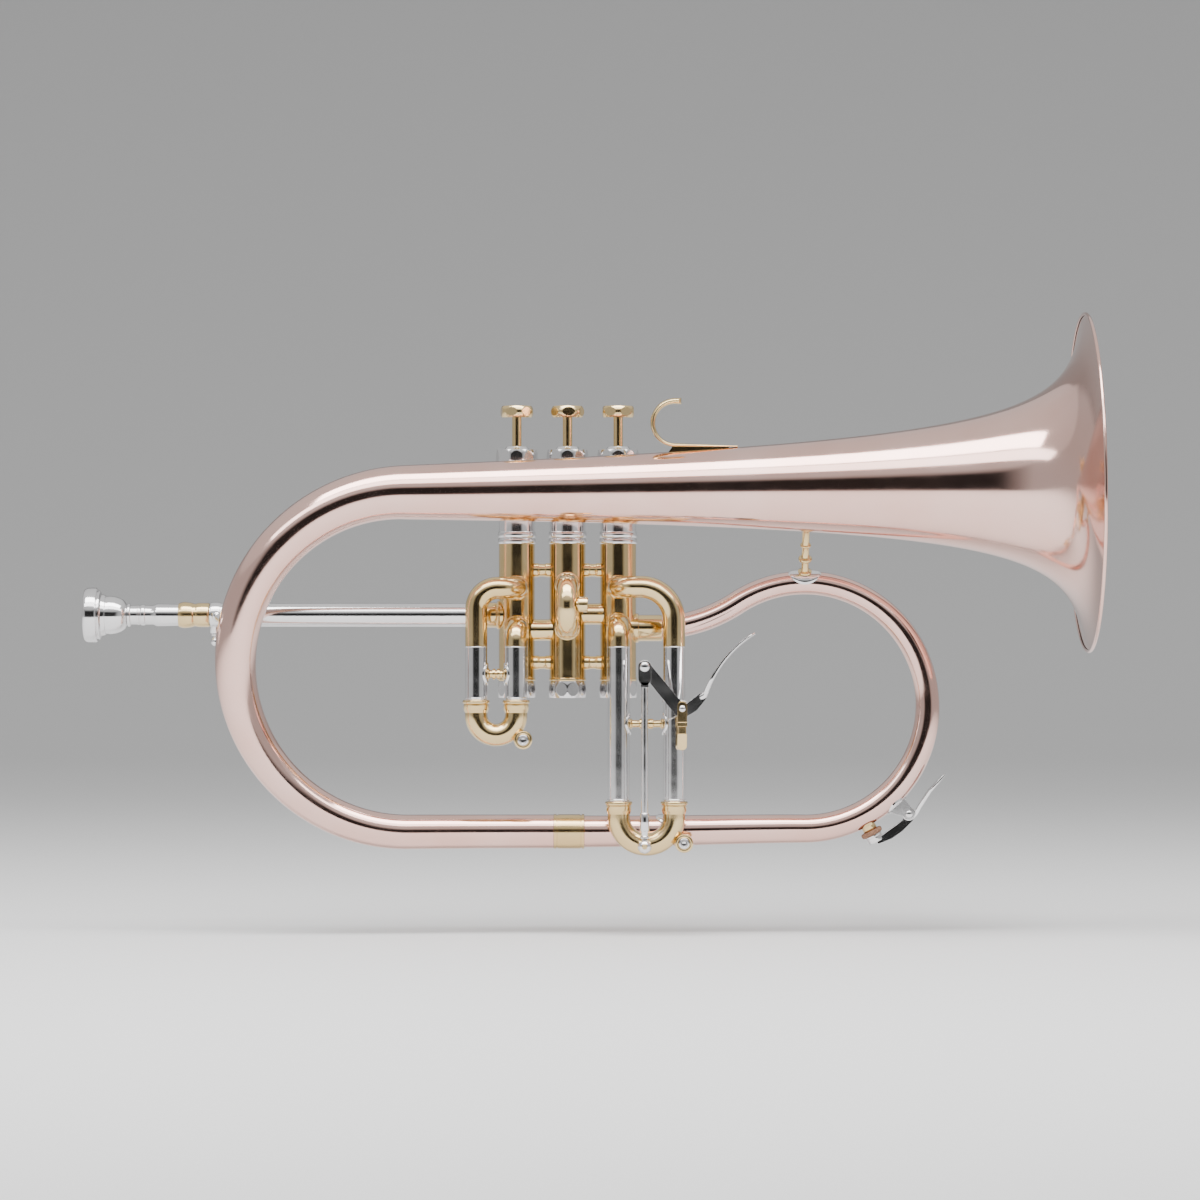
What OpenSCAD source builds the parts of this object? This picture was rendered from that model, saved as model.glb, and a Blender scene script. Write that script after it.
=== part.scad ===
// Flugelhorn with three piston valves, a trigger on the third slide and a push-in leadpipe.
// Millimetres. Origin: second valve's axis at the height of the leadpipe.
// +X towards the bell, +Z towards the finger buttons, -Y towards the player's right hand side.

/* [Bell] */
// Outside radius of the bell's rim
rim_r = 79; // [75:0.5:80]
// Position of the rim's centre along X
rim_x = 241.5; // [230:0.5:260]
// Height of the rim's centre
rim_z = 61.4; // [58:0.2:64]
// Upward tilt of the bell's axis in degrees
bell_tilt = 0.8; // [0:0.05:2]
// Thickness of the bell's sheet metal
sheet = 0.7; // [0.5:0.1:1]
// Distance of the bell's axis in front of the valves
bell_offset = 27; // [26:0.5:30]

/* [Bow and loop] */
// Radius of the big bow's centre line
bow_r = 79.3; // [76:0.2:80]
// Position where the bell meets the bow
bow_x = -74.8; // [-80:0.2:-72]
// Radius of the small loop's centre line
loop_r = 57.8; // [55:0.2:60]
// Position of the small loop's centre along X
loop_x = 111.4; // [105:0.2:115]
// Outside radius of the tube where it leaves the third valve
exit_r = 5.5; // [5:0.1:6]

/* [Valves] */
// Distance between neighbouring valve axes
valve_pitch = 23.8; // [23:0.1:25]
// Outside radius of a valve casing
casing_r = 8.5; // [8.2:0.1:8.8]
// Radius of the bore that a piston runs in
bore_r = 7.2; // [7:0.05:7.4]
// Radial play between a moving part and its bore
play = 0.05; // [0.02:0.01:0.1]
// Lower end of the brass casing
casing_bottom = -31; // [-32:0.5:-30]
// Upper end of the brass casing
casing_top = 33.4; // [32:0.2:35]
// Upper end of the nickel-silver barrel
barrel_top = 75.4; // [74:0.2:77]
// How far a piston travels
stroke = 12.5; // [11:0.5:13]

/* [Slides] */
// Outside radius of the slide tubes
slide_r = 5.2; // [5:0.05:5.3]
// Outside radius of the inner slide tubes
inner_r = 4.6; // [4.4:0.05:4.7]
// Distance of the first and third slides in front of the valves
slide_offset = 17.5; // [17:0.1:18]
// Lower end of the first slide's outer tubes
first_end = -39.4; // [-42:0.2:-36]
// Lower end of the third slide's outer tubes
third_end = -86.6; // [-90:0.2:-80]

/* [Leadpipe and mouthpiece] */
// Outside radius of the leadpipe's sleeve
sleeve_r = 5.5; // [5.2:0.1:5.8]
// Radius of the sleeve's bore
sleeve_bore = 4.8; // [4.7:0.05:4.9]
// Left end of the sleeve
sleeve_end = -167.6; // [-170:0.2:-165]
// Outside radius of the mouthpiece's rim
mouth_r = 12.95; // [12.5:0.05:13.5]

/* [Trigger] */
// Position of the trigger's pivot along X
pivot_x = 53.4; // [53:0.1:54]
// Height of the trigger's pivot
pivot_z = -43.3; // [-44:0.1:-42]
// Distance of the lever and the rod in front of the valves
lever_offset = 27.6; // [27.4:0.1:28]
// Radius of the clevis pin
pin_r = 1.2; // [1:0.1:1.3]
// Radius of the lever's hole around the clevis pin
pin_hole_r = 2.15; // [2.1:0.05:2.2]

/* [Hidden] */
$fn = 48;
eps = 0.01;
far = 400;

copper = "#d79f8b";
brass = "#cda85a";
nickel = "#c8c8ce";

valve_x = [-valve_pitch, 0, valve_pitch];
wall = 0.6;
tube_bore = slide_r - wall;
slide_y = -slide_offset;
lever_y = -lever_offset;

// Bell: radius against the distance from the rim, as a power law.
flare_scale = 138.58;
flare_shift = 3.135;
flare_power = 0.1986;
flare_base = -31.48;
bell_length = (rim_x - bow_x) / cos(bell_tilt);
rim_wire = 0.9;
rim_flat = 0.75;

// Bow: it starts where the bell ends and runs down into the bottom tube.
bow_z = rim_z - (rim_x - bow_x) * tan(bell_tilt) - bow_r;
bottom_z = bow_z - bow_r;
bottom_y = -2;
bow_end_x = -6.5;
bow_straight = bow_end_x - bow_x;
bow_length = PI * bow_r + bow_straight;
bow_r_start = flare(bell_length);
bow_r_end = 7.95;
bow_taper = 2.2;
bow_shift_start = 60;
ferrule_end_x = 8;

// Loop: bottom tube, circle and the S-curve into the third valve.
bottom_rise = 1.2;
loop_z = bottom_z + bottom_rise + loop_r;
exit_z = -6.1;
exit_straight_x = 40;
s_run = loop_x - exit_straight_x;
s_drop = exit_z - loop_z;
s_r = (s_run * s_run + s_drop * s_drop - loop_r * loop_r) / (2 * (loop_r - s_drop));
s_angle = atan2(s_run, s_r + s_drop);
loop_angle = 180 + s_angle;
loop_r_start = 7.5;
loop_taper = 200;
bend_inner = 0.7;

// Ports: direction, height and radius of every hole in the casings, valve by valve.
port_r = 4.4;
leadpipe_port_r = 4.1;
first_left_x = -42.4;
first_right_x = valve_x[0];
first_upper_z = 12.7;
first_lower_z = -6;
first_bend_r = 10;
first_turn_r = 8.6;
lower_bend_r = 7;
elbow_end_z = -14.5;
second_upper_z = 14.3;
second_lower_z = -5.8;
third_left_x = 24;
third_right_x = 49.8;
third_upper_z = 13.2;
third_lower_z = -4.7;
third_bend_r = 15.6;
third_turn_r = 8.6;
knuckle_12_z = -7;
knuckle_23_z = 0.5;
PORTS = [
    [
        [180, 0, leadpipe_port_r],
        [0, knuckle_12_z, port_r],
        [-90, first_upper_z, port_r],
        [-90, first_lower_z, port_r],
    ],
    [
        [180, knuckle_12_z, port_r],
        [0, knuckle_23_z, port_r],
        [-90, second_upper_z, port_r],
        [-90, second_lower_z, port_r],
    ],
    [
        [180, knuckle_23_z, port_r],
        [0, exit_z, port_r],
        [-90, third_upper_z, port_r],
        [-90, third_lower_z, port_r],
    ],
];

// Valve parts.
piston_bottom = -17;
piston_top = 46;
stem_r = 2.25;
spigot_r = 1.5;
spigot_h = 4.5;
cap_bottom = -38.8;
cap_floor = 2.3;
cap_top = 77.6;
button_rest = 2.7;
button_bottom = cap_top + stroke + button_rest;
button_thick = 5.4;
button_r = 7.9;
spring_r = 5;
spring_wire_r = 0.5;
spring_turns = 5;
button_turn = [10, 35, 0];

// First slide.
first_mid_x = (first_left_x + first_right_x) / 2;
first_crook_z = -46.5;
first_crook_r = (first_right_x - first_left_x) / 2;
first_brace_z = -27.5;
first_key = [-20.5, slide_y, -58.1];

// Second slide.
second_mid_z = (second_upper_z + second_lower_z) / 2;
second_crook_r = (second_upper_z - second_lower_z) / 2;
second_end_y = -22.5;
second_crook_y = -25.5;
second_r = 4.95;
knob_z = 5;

// Third slide.
third_mid_x = (third_left_x + third_right_x) / 2;
third_crook_r = (third_right_x - third_left_x) / 2;
third_crook_z = -94;
third_brace_z = -50.6;
third_key = [54.4, slide_y, -106.2];
ball_z = -107.2;
ball_r = 3.3;

// Trigger.
arm_r = 26.1;
arm_angle = 131.9;
clevis_x = pivot_x + arm_r * cos(arm_angle);
clevis_z = pivot_z + arm_r * sin(arm_angle);
lever_half = 1.2;
clevis_drop = 5.7;
paddle_r = 52.3;
paddle_start = [64.6, -36.3];
paddle_heading = 70.7;
paddle_sweep = 40;
paddle_width = 8;
paddle_thick = 1.2;

// Brace between the bell and the top of the loop.
brace_foot = [loop_x, 0, loop_z + loop_r];
brace_head = [loop_x, -bell_offset, rim_z - (rim_x - loop_x) * tan(bell_tilt)];
brace_axis = unit(brace_head - brace_foot);

// Water key on the loop.
key_angle = -62.1;
key_pivot = [160.3, -93.4];
key_tip = [176.5, -75.2];
key_bend = [170.4, -82.7];
key_nipple_end = 66.4;
key_cork = 2.1;
key_gap = 0.05;
saddle_angle = -47.4;

// Mouthpiece and receiver.
receiver_end = -182.7;
receiver_length = 14.7;
shank_end = -162;
mouth_x = -227;
inner_pipe_end = -60;
lock_x = -165.4;

function flare(s) = flare_base + flare_scale / pow(s + flare_shift, flare_power);
function flare_slope(s) = flare_scale * flare_power / pow(s + flare_shift, flare_power + 1);
function unit(v) = v / norm(v);
function ease(t) = let (u = min(max(t, 0), 1)) u * u * (3 - 2 * u);
function polar(r, a) = [r * cos(a), r * sin(a)];

// Centre line of the bow at the distance s from its upper end.
function bow_y(s) = -bell_offset
    + (bell_offset + bottom_y) * ease((s - bow_shift_start) / (bow_length - bow_shift_start));
function bow_point(s) =
    let (a = min(s / bow_r * 180 / PI, 180))
    let (over = max(s - PI * bow_r, 0))
    [bow_x - bow_r * sin(a) + over, bow_y(s), bow_z + bow_r * cos(a)];
function bow_radius(s) = bow_r_end + (bow_r_start - bow_r_end) * pow(1 - s / bow_length, bow_taper);

// Centre line of the loop at the distance s from the bottom ferrule.
bottom_run = loop_x - ferrule_end_x;
loop_arc = PI * loop_r * loop_angle / 180;
s_arc = PI * s_r * s_angle / 180;
s_centre = [exit_straight_x, exit_z + s_r];
loop_length = bottom_run + loop_arc + s_arc + exit_straight_x - valve_x[2] - casing_r;
function loop_xz(s) =
    s < bottom_run ? [ferrule_end_x + s, bottom_z + bottom_rise * ease(s / bottom_run)]
    : s < bottom_run + loop_arc
        ? [loop_x, loop_z] + polar(loop_r, (s - bottom_run) / loop_r * 180 / PI - 90)
    : s < bottom_run + loop_arc + s_arc
        ? s_centre + polar(s_r, s_angle - 90 - (s - bottom_run - loop_arc) / s_r * 180 / PI)
    : [exit_straight_x - (s - bottom_run - loop_arc - s_arc), exit_z];
function loop_y(s) = bottom_y * (1 - ease((s - bottom_run / 2) / (bottom_run / 2)));
function loop_point(s) = let (p = loop_xz(s)) [p[0], loop_y(s), p[1]];
function loop_radius(s) = exit_r + (loop_r_start - exit_r) * pow(max(1 - s / loop_taper, 0), 0.8);

// A hollow tube swept along a path that stays close to the XZ plane.
function tangent(path, i) = unit(path[min(i + 1, len(path) - 1)] - path[max(i - 1, 0)]);
function ring(c, t, r, sides) =
    let (b = unit([0, 1, 0] - t[1] * t))
    let (n = cross(t, b))
    [for (k = [0:sides - 1]) c + r * (cos(360 * k / sides) * b + sin(360 * k / sides) * n)];
module swept_tube(path, radii, thick, sides) {
    last = len(path) - 1;
    outer = [for (i = [0:last]) each ring(path[i], tangent(path, i), radii[i], sides)];
    inner = [for (i = [0:last]) each ring(path[i], tangent(path, i), radii[i] - thick, sides)];
    skip = len(outer);
    outside = [
        for (i = [0:last - 1], k = [0:sides - 1])
            let (m = (k + 1) % sides)
            [i * sides + k, i * sides + m, (i + 1) * sides + m, (i + 1) * sides + k]
    ];
    inside = [for (f = outside) [f[3] + skip, f[2] + skip, f[1] + skip, f[0] + skip]];
    start = [for (k = [0:sides - 1]) let (m = (k + 1) % sides) [k, k + skip, m + skip, m]];
    finish = [
        for (k = [0:sides - 1])
            let (m = (k + 1) % sides, e = last * sides)
            [e + k, e + m, e + m + skip, e + k + skip]
    ];
    polyhedron(concat(outer, inner), concat(outside, inside, start, finish));
}

module along_x(x) translate([x, 0, 0]) rotate([0, 90, 0]) children();
module towards_front(p) translate(p) rotate([90, 0, 0]) children();
module tube(r, bore, h) {
    difference() {
        cylinder(r = r, h = h);
        translate([0, 0, -1]) cylinder(r = bore, h = h + 2);
    }
}
// A bend in the XZ plane: its centre, radius, first angle and sweep.
module bend(centre, r, thick, bore, from, sweep) {
    translate(centre)
        rotate([90, 0, 0])
            rotate([0, 0, from])
                rotate_extrude(angle = sweep, $fn = 96)
                    translate([r, 0])
                        difference() {
                            circle(r = thick);
                            if (bore > 0) circle(r = bore);
                        }
}
module rod(a, b, r) {
    v = b - a;
    translate(a)
        rotate([0, acos(v[2] / norm(v)), atan2(v[1], v[0])])
            cylinder(r = r, h = norm(v));
}
module casing_solid(i) translate([valve_x[i], 0, -60]) cylinder(r = casing_r, h = 160);
// A ring turned to a barrel shape, with flats cut round it.
module flatted_ring(edge_r, mid_r, h, flats, flat_d, turn) {
    swell = mid_r - edge_r;
    arc_r = (h * h / 4 + swell * swell) / (2 * swell);
    difference() {
        rotate_extrude($fn = 96)
            intersection() {
                square([mid_r, h]);
                translate([mid_r - arc_r, h / 2]) circle(r = arc_r);
            }
        for (k = [0:flats - 1])
            rotate([0, 0, turn + 360 * k / flats])
                translate([flat_d, -mid_r, -1])
                    cube([mid_r, 2 * mid_r, h + 2]);
    }
}

module bell() {
    count = 26;
    steps = [for (i = [count:-1:0]) (bell_length - sheet) * pow(i / count, 1.9)];
    outside = [for (s = steps) [min(flare(s), rim_r - rim_wire), -s - sheet]];
    inward = [for (s = steps) sheet * unit([-1, flare_slope(s)])];
    inside = [for (i = [count:-1:0]) outside[i] + inward[i]];
    color(copper)
        translate([rim_x, -bell_offset, rim_z])
            rotate([0, 90 - bell_tilt, 0])
                rotate_extrude($fn = 128)
                    union() {
                        polygon(concat(outside, inside));
                        intersection() {
                            translate([rim_r - rim_wire, -rim_flat]) circle(r = rim_wire, $fn = 32);
                            translate([rim_r - 3, -3]) square([4, 3]);
                        }
                    }
}

module bow() {
    steps = [for (i = [0:34]) bow_length * i / 34];
    color(copper)
        swept_tube([for (s = steps) bow_point(s)], [for (s = steps) bow_radius(s)], sheet, 20);
}

module bow_ferrule() {
    color(brass)
        translate([0, bottom_y, bottom_z])
            along_x(bow_end_x)
                rotate_extrude()
                    translate([bow_r_end - sheet, 0])
                        square([0.95, ferrule_end_x - bow_end_x]);
}

module loop_tube() {
    steps = [for (i = [0:46]) loop_length * i / 46];
    color(copper)
        difference() {
            swept_tube([for (s = steps) loop_point(s)], [for (s = steps) loop_radius(s)], bend_inner, 16);
            casing_solid(2);
        }
}

module exit_ferrule() {
    color(brass)
        difference() {
            translate([0, 0, exit_z])
                union() {
                    along_x(valve_x[2] + 7) tube(6.2, exit_r, 44.4 - valve_x[2] - 7);
                    along_x(valve_x[2] + 7) tube(6.9, exit_r, 2.7);
                }
            casing_solid(2);
        }
}

module casing(i) {
    color(brass)
        difference() {
            translate([valve_x[i], 0, casing_bottom])
                tube(casing_r, bore_r, casing_top - casing_bottom);
            for (p = PORTS[i])
                translate([valve_x[i], 0, p[1]])
                    rotate([0, 0, p[0]])
                        along_x(0) cylinder(r = p[2], h = casing_r + 1);
        }
}

module barrel(i) {
    color(nickel)
        translate([valve_x[i], 0, casing_top])
            union() {
                tube(casing_r, bore_r, barrel_top - casing_top);
                for (z = [0, 3.3]) translate([0, 0, z]) tube(casing_r + 0.5, casing_r - 0.5, 2.4);
            }
}

module top_cap(i) {
    cap_start = 69.8;
    color(nickel)
        translate([valve_x[i], 0, 0])
            difference() {
                union() {
                    translate([0, 0, cap_start])
                        flatted_ring(9.35, 9.85, cap_top - cap_start, 10, 9.5, 18);
                    translate([0, 0, cap_top - eps]) cylinder(r1 = 6, r2 = 4.6, h = 1.6);
                }
                translate([0, 0, cap_start - 1]) cylinder(r = casing_r, h = barrel_top - cap_start + 1);
                cylinder(r = stem_r + 0.35, h = 100);
            }
}

module bottom_cap(i) {
    color(nickel)
        translate([valve_x[i], 0, cap_bottom])
            difference() {
                flatted_ring(8.6, 9.2, casing_bottom - cap_bottom, 10, 8.75, 0);
                translate([0, 0, cap_floor]) cylinder(r = bore_r, h = 20);
                translate([0, 0, -1]) cylinder(r = 1.6, h = 10);
            }
}

module turned_brace(length, r, waist) {
    third = length / 3;
    rotate_extrude()
        union() {
            square([waist, length]);
            for (z = [0, 2 * third]) translate([0, z]) square([r, third]);
        }
}

module valve_braces() {
    color(brass)
        for (z = [21.1, -22.3], i = [0, 1])
            difference() {
                translate([0, 0, z])
                    along_x(valve_x[i] + casing_r - 0.6)
                        turned_brace(valve_pitch - 2 * casing_r + 1.2, 3.3, 2.9);
                casing_solid(i);
                casing_solid(i + 1);
            }
}

module knuckles() {
    color(brass)
        for (k = [[0, knuckle_12_z], [1, knuckle_23_z]])
            difference() {
                translate([0, 0, k[1]])
                    along_x(valve_x[k[0]] + casing_r - 2)
                        tube(5.25, port_r, valve_pitch - 2 * casing_r + 4);
                casing_solid(k[0]);
                casing_solid(k[0] + 1);
            }
}

module leadpipe_sleeve() {
    color(nickel)
        difference() {
            along_x(sleeve_end) tube(sleeve_r, sleeve_bore, valve_x[0] - casing_r + 3 - sleeve_end);
            casing_solid(0);
            translate([lock_x, 0, -far]) cylinder(r = 1.5 + play, h = far);
        }
}

module leadpipe_ferrule() {
    color(brass)
        difference() {
            union() {
                along_x(-38.2) tube(sleeve_r + 0.45, sleeve_r, 8);
                along_x(-33.6) tube(sleeve_r + 1.2, sleeve_r + 0.3, 4);
            }
            casing_solid(0);
        }
}

module leadpipe_collar() {
    foot = bow_point(108);
    color(nickel)
        difference() {
            union() {
                along_x(sleeve_end) tube(6, sleeve_r, 4.8);
                translate([lock_x, 0, -8.6]) cylinder(r = 2.6, h = 5);
                rod([sleeve_end + 2.6, -4, 0], [foot[0] - 5.5, foot[1] + 8, foot[2]], 1.9);
            }
            along_x(sleeve_end - 1) cylinder(r = sleeve_r, h = 20);
            translate([lock_x, 0, -far]) cylinder(r = 1.5 + play, h = far);
        }
}

module lower_elbow(x, z) {
    y = -casing_r - (slide_offset - casing_r - lower_bend_r);
    translate([x, 0, z]) rotate([90, 0, 0]) translate([0, 0, 4]) tube(slide_r, tube_bore, -y - 4);
    translate([x, 0, 0])
        rotate([0, 0, -90])
            bend([-y, 0, z - lower_bend_r], lower_bend_r, slide_r, tube_bore, 0, 90);
    translate([x, slide_y, elbow_end_z]) tube(slide_r, tube_bore, z - lower_bend_r - elbow_end_z);
}

// A tube out of the casing's front that turns along X and then bends down; side is 1 to the right.
module upper_elbow(x, z, end_x, turn_r, bend_r, side) {
    turn_x = x + side * turn_r;
    bend_x = end_x - side * bend_r;
    translate([x, 0, z])
        rotate([90, 0, 0])
            translate([0, 0, 4]) tube(slide_r, tube_bore, slide_offset - turn_r - 4);
    translate([turn_x, slide_y + turn_r, z])
        rotate([-90, 0, 0])
            bend([0, 0, 0], turn_r, slide_r, tube_bore, side > 0 ? 180 : 270, 90);
    if (abs(bend_x - turn_x) > eps)
        translate([0, slide_y, z])
            along_x(min(turn_x, bend_x)) tube(slide_r, tube_bore, abs(bend_x - turn_x));
    bend([bend_x, slide_y, z - bend_r], bend_r, slide_r, tube_bore, side > 0 ? 0 : 90, 90);
    translate([end_x, slide_y, elbow_end_z]) tube(slide_r, tube_bore, z - bend_r - elbow_end_z);
}

module first_elbows() {
    color(brass)
        difference() {
            union() {
                upper_elbow(valve_x[0], first_upper_z, first_left_x, first_turn_r, first_bend_r, -1);
                lower_elbow(first_right_x, first_lower_z);
            }
            casing_solid(0);
        }
}

// A pair of outer slide tubes that hang straight down.
module outer_pair(xs, bottom) {
    for (x = xs) translate([x, slide_y, bottom]) tube(slide_r, inner_r + play, elbow_end_z - bottom);
}
module first_outer_tubes() color(nickel) outer_pair([first_left_x, first_right_x], first_end);
module third_outer_tubes() color(nickel) outer_pair([third_left_x, third_right_x], third_end);

// A brace between two vertical tubes, with a curved foot on each.
module tube_brace(left, right, z, r) {
    difference() {
        union() {
            translate([0, slide_y, z])
                along_x(left + slide_r - 1) turned_brace(right - left - 2 * slide_r + 2, r, r * 0.75);
            for (x = [left, right])
                intersection() {
                    translate([x, slide_y, z - 6.5]) tube(slide_r + 0.6, slide_r - eps, 13);
                    translate([left + 2.4, slide_y, z])
                        along_x(0) cylinder(r = 6.2, h = right - left - 4.8);
                }
        }
        for (x = [left, right]) translate([x, slide_y, z - 20]) cylinder(r = slide_r, h = 40);
    }
}
module first_brace() color(brass) tube_brace(first_left_x, first_right_x, first_brace_z, 2.7);
module third_brace() color(brass) tube_brace(third_left_x, third_right_x, third_brace_z, 2.4);

module second_outer_tubes() {
    color(brass)
        difference() {
            for (z = [second_upper_z, second_lower_z])
                translate([0, 0, z])
                    rotate([90, 0, 0])
                        translate([0, 0, 4]) tube(slide_r, inner_r + play, -second_end_y - 4);
            casing_solid(1);
        }
}

module third_elbows() {
    color(brass)
        difference() {
            union() {
                upper_elbow(valve_x[2], third_upper_z, third_right_x, third_turn_r, third_bend_r, 1);
                lower_elbow(third_left_x, third_lower_z);
            }
            casing_solid(2);
        }
}

// A fork that holds the lever between two prongs, on a rounded foot on the slide tube.
module trigger_post() {
    prong_gap = lever_half + 0.3;
    prong = 1.1;
    base_top = -49.6;
    color(brass)
        difference() {
            union() {
                hull() {
                    for (z = [-60.5, -55.5]) {
                        towards_front([pivot_x, slide_y - 2, z]) cylinder(r = 2.2, h = 7.4, $fn = 32);
                    }
                }
                translate([pivot_x - 2, lever_y - prong_gap - prong, -55])
                    cube([4, 2 * (prong_gap + prong), base_top + 55]);
                translate([pivot_x - 2, slide_y - 8.6, -55]) cube([4, 5.6, 3]);
                for (y = [lever_y + prong_gap + prong, lever_y - prong_gap])
                    hull() {
                        towards_front([pivot_x, y, pivot_z]) cylinder(r = 2.3, h = prong, $fn = 32);
                        translate([pivot_x - 2.2, y - prong, base_top - 2]) cube([4.4, prong, 2]);
                    }
                towards_front([pivot_x, lever_y + prong_gap + prong, pivot_z])
                    cylinder(r = 1, h = 2 * (prong_gap + prong) + 0.5);
            }
            translate([third_right_x, slide_y, third_end]) cylinder(r = slide_r, h = 80);
        }
}

// A strut from a curved foot on the bottom tube to the back of the third slide.
module tube_foot() {
    foot_x = 48.6;
    foot_z = bottom_z + bottom_rise * ease((foot_x - ferrule_end_x) / bottom_run);
    joint = [third_right_x, slide_y + slide_r + 1.6, -77];
    color(nickel)
        union() {
            difference() {
                translate([0, bottom_y, foot_z])
                    along_x(foot_x - 7.2) tube(7.9, 6.9, 14.4);
                translate([foot_x - 20, -20, foot_z - 20]) cube([40, 40, 23.5]);
            }
            rod([foot_x, bottom_y - 1.2, foot_z + 7], joint, 1.6);
            towards_front(joint + [0, 0.8, 0]) cylinder(r = 2, h = 2.7);
        }
}

module bell_brace() {
    foot = brace_foot + brace_axis * exit_r;
    top = brace_head - brace_axis * flare(rim_x - loop_x);
    color(brass)
        union() {
            rod(foot, top + brace_axis * 0.3, 1.75);
            rod(foot + brace_axis * 7, foot + brace_axis * 9.4, 3.2);
            rod(foot + brace_axis * 14.5, foot + brace_axis * 16, 2.5);
            rod(top - brace_axis * 1.2, top + brace_axis * 0.4, 3.4);
        }
}

module brace_saddle() {
    lean = atan2(-brace_axis[1], brace_axis[2]);
    color(nickel)
        intersection() {
            bend([loop_x, 0, loop_z], loop_r, exit_r + 0.7, exit_r, 83, 14);
            translate(brace_foot)
                rotate([lean, 0, 0])
                    cylinder(r = 7.2, h = 20);
        }
}

// A curved strip with a straight tip and a long foot that is soldered to the bell.
module finger_hook() {
    hook_r = 10.2;
    strip = 1.1;
    half = 3.4;
    tip = 3;
    centre = [50, -bell_offset, 89.1];
    color(brass)
        translate(centre)
            union() {
                rotate([90, 0, 0])
                    rotate([0, 0, 90])
                        rotate_extrude(angle = 180)
                            intersection() {
                                translate([hook_r - strip, -half]) square([2 * strip, 2 * half]);
                                translate([hook_r - 5.4, 0]) circle(r = 6.5);
                            }
                translate([0, -half, hook_r - strip]) cube([tip, 2 * half, 2 * strip]);
                translate([0, -half + 0.6, -hook_r - strip]) cube([12, 2 * half - 1.2, 2 * strip]);
                translate([12, -half + 0.6, -hook_r - strip]) cube([17, 2 * half - 1.2, 1.5]);
                rotate([90, 0, 0])
                    translate([0, 0, -1.6])
                        linear_extrude(3.2)
                            polygon([
                                [-2, -hook_r - 0.9],
                                [19, -hook_r - 0.9],
                                [19, -hook_r - 1.95],
                                [-2, -hook_r - 3.45],
                            ]);
            }
}

module out_along(angle, start) {
    translate([loop_x, 0, loop_z])
        rotate([0, 90 - angle, 0])
            translate([0, 0, start])
                children();
}

module key_nipple() color(brass) out_along(key_angle, 62.6) tube(3.4, 1.8, key_nipple_end - key_gap - 62.6);

module key_saddle() {
    ear_low = [loop_x, loop_z] + polar(63.8, saddle_angle - 4.5);
    ear_high = [loop_x, loop_z] + polar(63.8, saddle_angle + 4.5);
    color(nickel)
        union() {
            intersection() {
                bend([loop_x, 0, loop_z], loop_r, 7.3, 6.1, saddle_angle - 5, 10);
                out_along(saddle_angle, 60) cylinder(r = 6, h = 12);
            }
            for (y = [2.6, -3.8])
                translate([0, y, 0])
                    rotate([90, 0, 0])
                        translate([0, 0, -1.2])
                            linear_extrude(1.2)
                                polygon([ear_low, ear_high, key_pivot + [2.1, 1.6], key_pivot + [1, -2.3]]);
            towards_front([key_pivot[0], 4.4, key_pivot[1]]) cylinder(r = 0.9, h = 8.8);
        }
}

module piston(i) {
    stem_length = button_bottom - piston_top;
    color(nickel)
        translate([valve_x[i], 0, 0])
            difference() {
                union() {
                    translate([0, 0, piston_bottom])
                        cylinder(r = bore_r - play, h = piston_top - piston_bottom);
                    translate([0, 0, piston_top]) cylinder(r = stem_r, h = stem_length);
                    translate([0, 0, piston_top]) cylinder(r = spigot_r, h = stem_length + spigot_h);
                }
                translate([0, 0, piston_bottom - 1]) cylinder(r = 5.9, h = 3);
                for (z = [-6, 4, 15])
                    translate([0, 0, z])
                        rotate([0, 0, 20 * z])
                            along_x(-10) cylinder(r = 3.9, h = 20);
                translate([0, 0, 26]) cylinder(r = 6.2, h = piston_top - 28);
                translate([4.5, 0, 30]) cylinder(r = 1.2, h = piston_top - 29);
            }
}

module button(i) {
    color(brass)
        translate([valve_x[i], 0, button_bottom])
            difference() {
                flatted_ring(6.9, button_r, button_thick, 6, 7.35, button_turn[i]);
                translate([0, 0, button_thick - 0.7]) cylinder(r1 = 3, r2 = 6.2, h = 0.8);
                translate([0, 0, -1]) cylinder(r = spigot_r, h = button_thick + 2);
            }
}

module valve_spring(i) {
    rise = piston_bottom + 2 - cap_bottom - cap_floor - 2 * spring_wire_r;
    count = spring_turns * 12;
    start = cap_bottom + cap_floor + spring_wire_r;
    centres = [
        for (k = [0:count])
            [spring_r * cos(30 * k), spring_r * sin(30 * k), start + rise * k / count]
    ];
    points = [
        for (k = [0:count], j = [0:4])
            centres[k] + spring_wire_r * [
                cos(72 * j) * cos(30 * k), cos(72 * j) * sin(30 * k), sin(72 * j)
            ]
    ];
    sides = [
        for (k = [0:count - 1], j = [0:4])
            let (m = (j + 1) % 5)
            [5 * k + j, 5 * k + 5 + j, 5 * k + 5 + m, 5 * k + m]
    ];
    color("silver")
        translate([valve_x[i], 0, 0])
            polyhedron(points, concat(sides, [[0, 1, 2, 3, 4]], [[for (j = [4:-1:0]) 5 * count + j]]));
}

// Inner tubes, collars and crook of a slide that hangs straight down.
module hanging_crook(left, right, end_z, crook_z, crook_r) {
    union() {
        for (x = [left, right])
            translate([x, slide_y, 0])
                union() {
                    translate([0, 0, crook_z]) tube(inner_r, inner_r - wall, elbow_end_z - 2 - crook_z);
                    translate([0, 0, end_z - 1.8]) tube(slide_r + 1.2, inner_r - wall, 1.6);
                    translate([0, 0, crook_z]) tube(slide_r + 0.7, inner_r - wall, end_z - 1.7 - crook_z);
                }
        bend([(left + right) / 2, slide_y, crook_z], crook_r, slide_r, inner_r - wall, 180, 180);
    }
}

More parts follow.
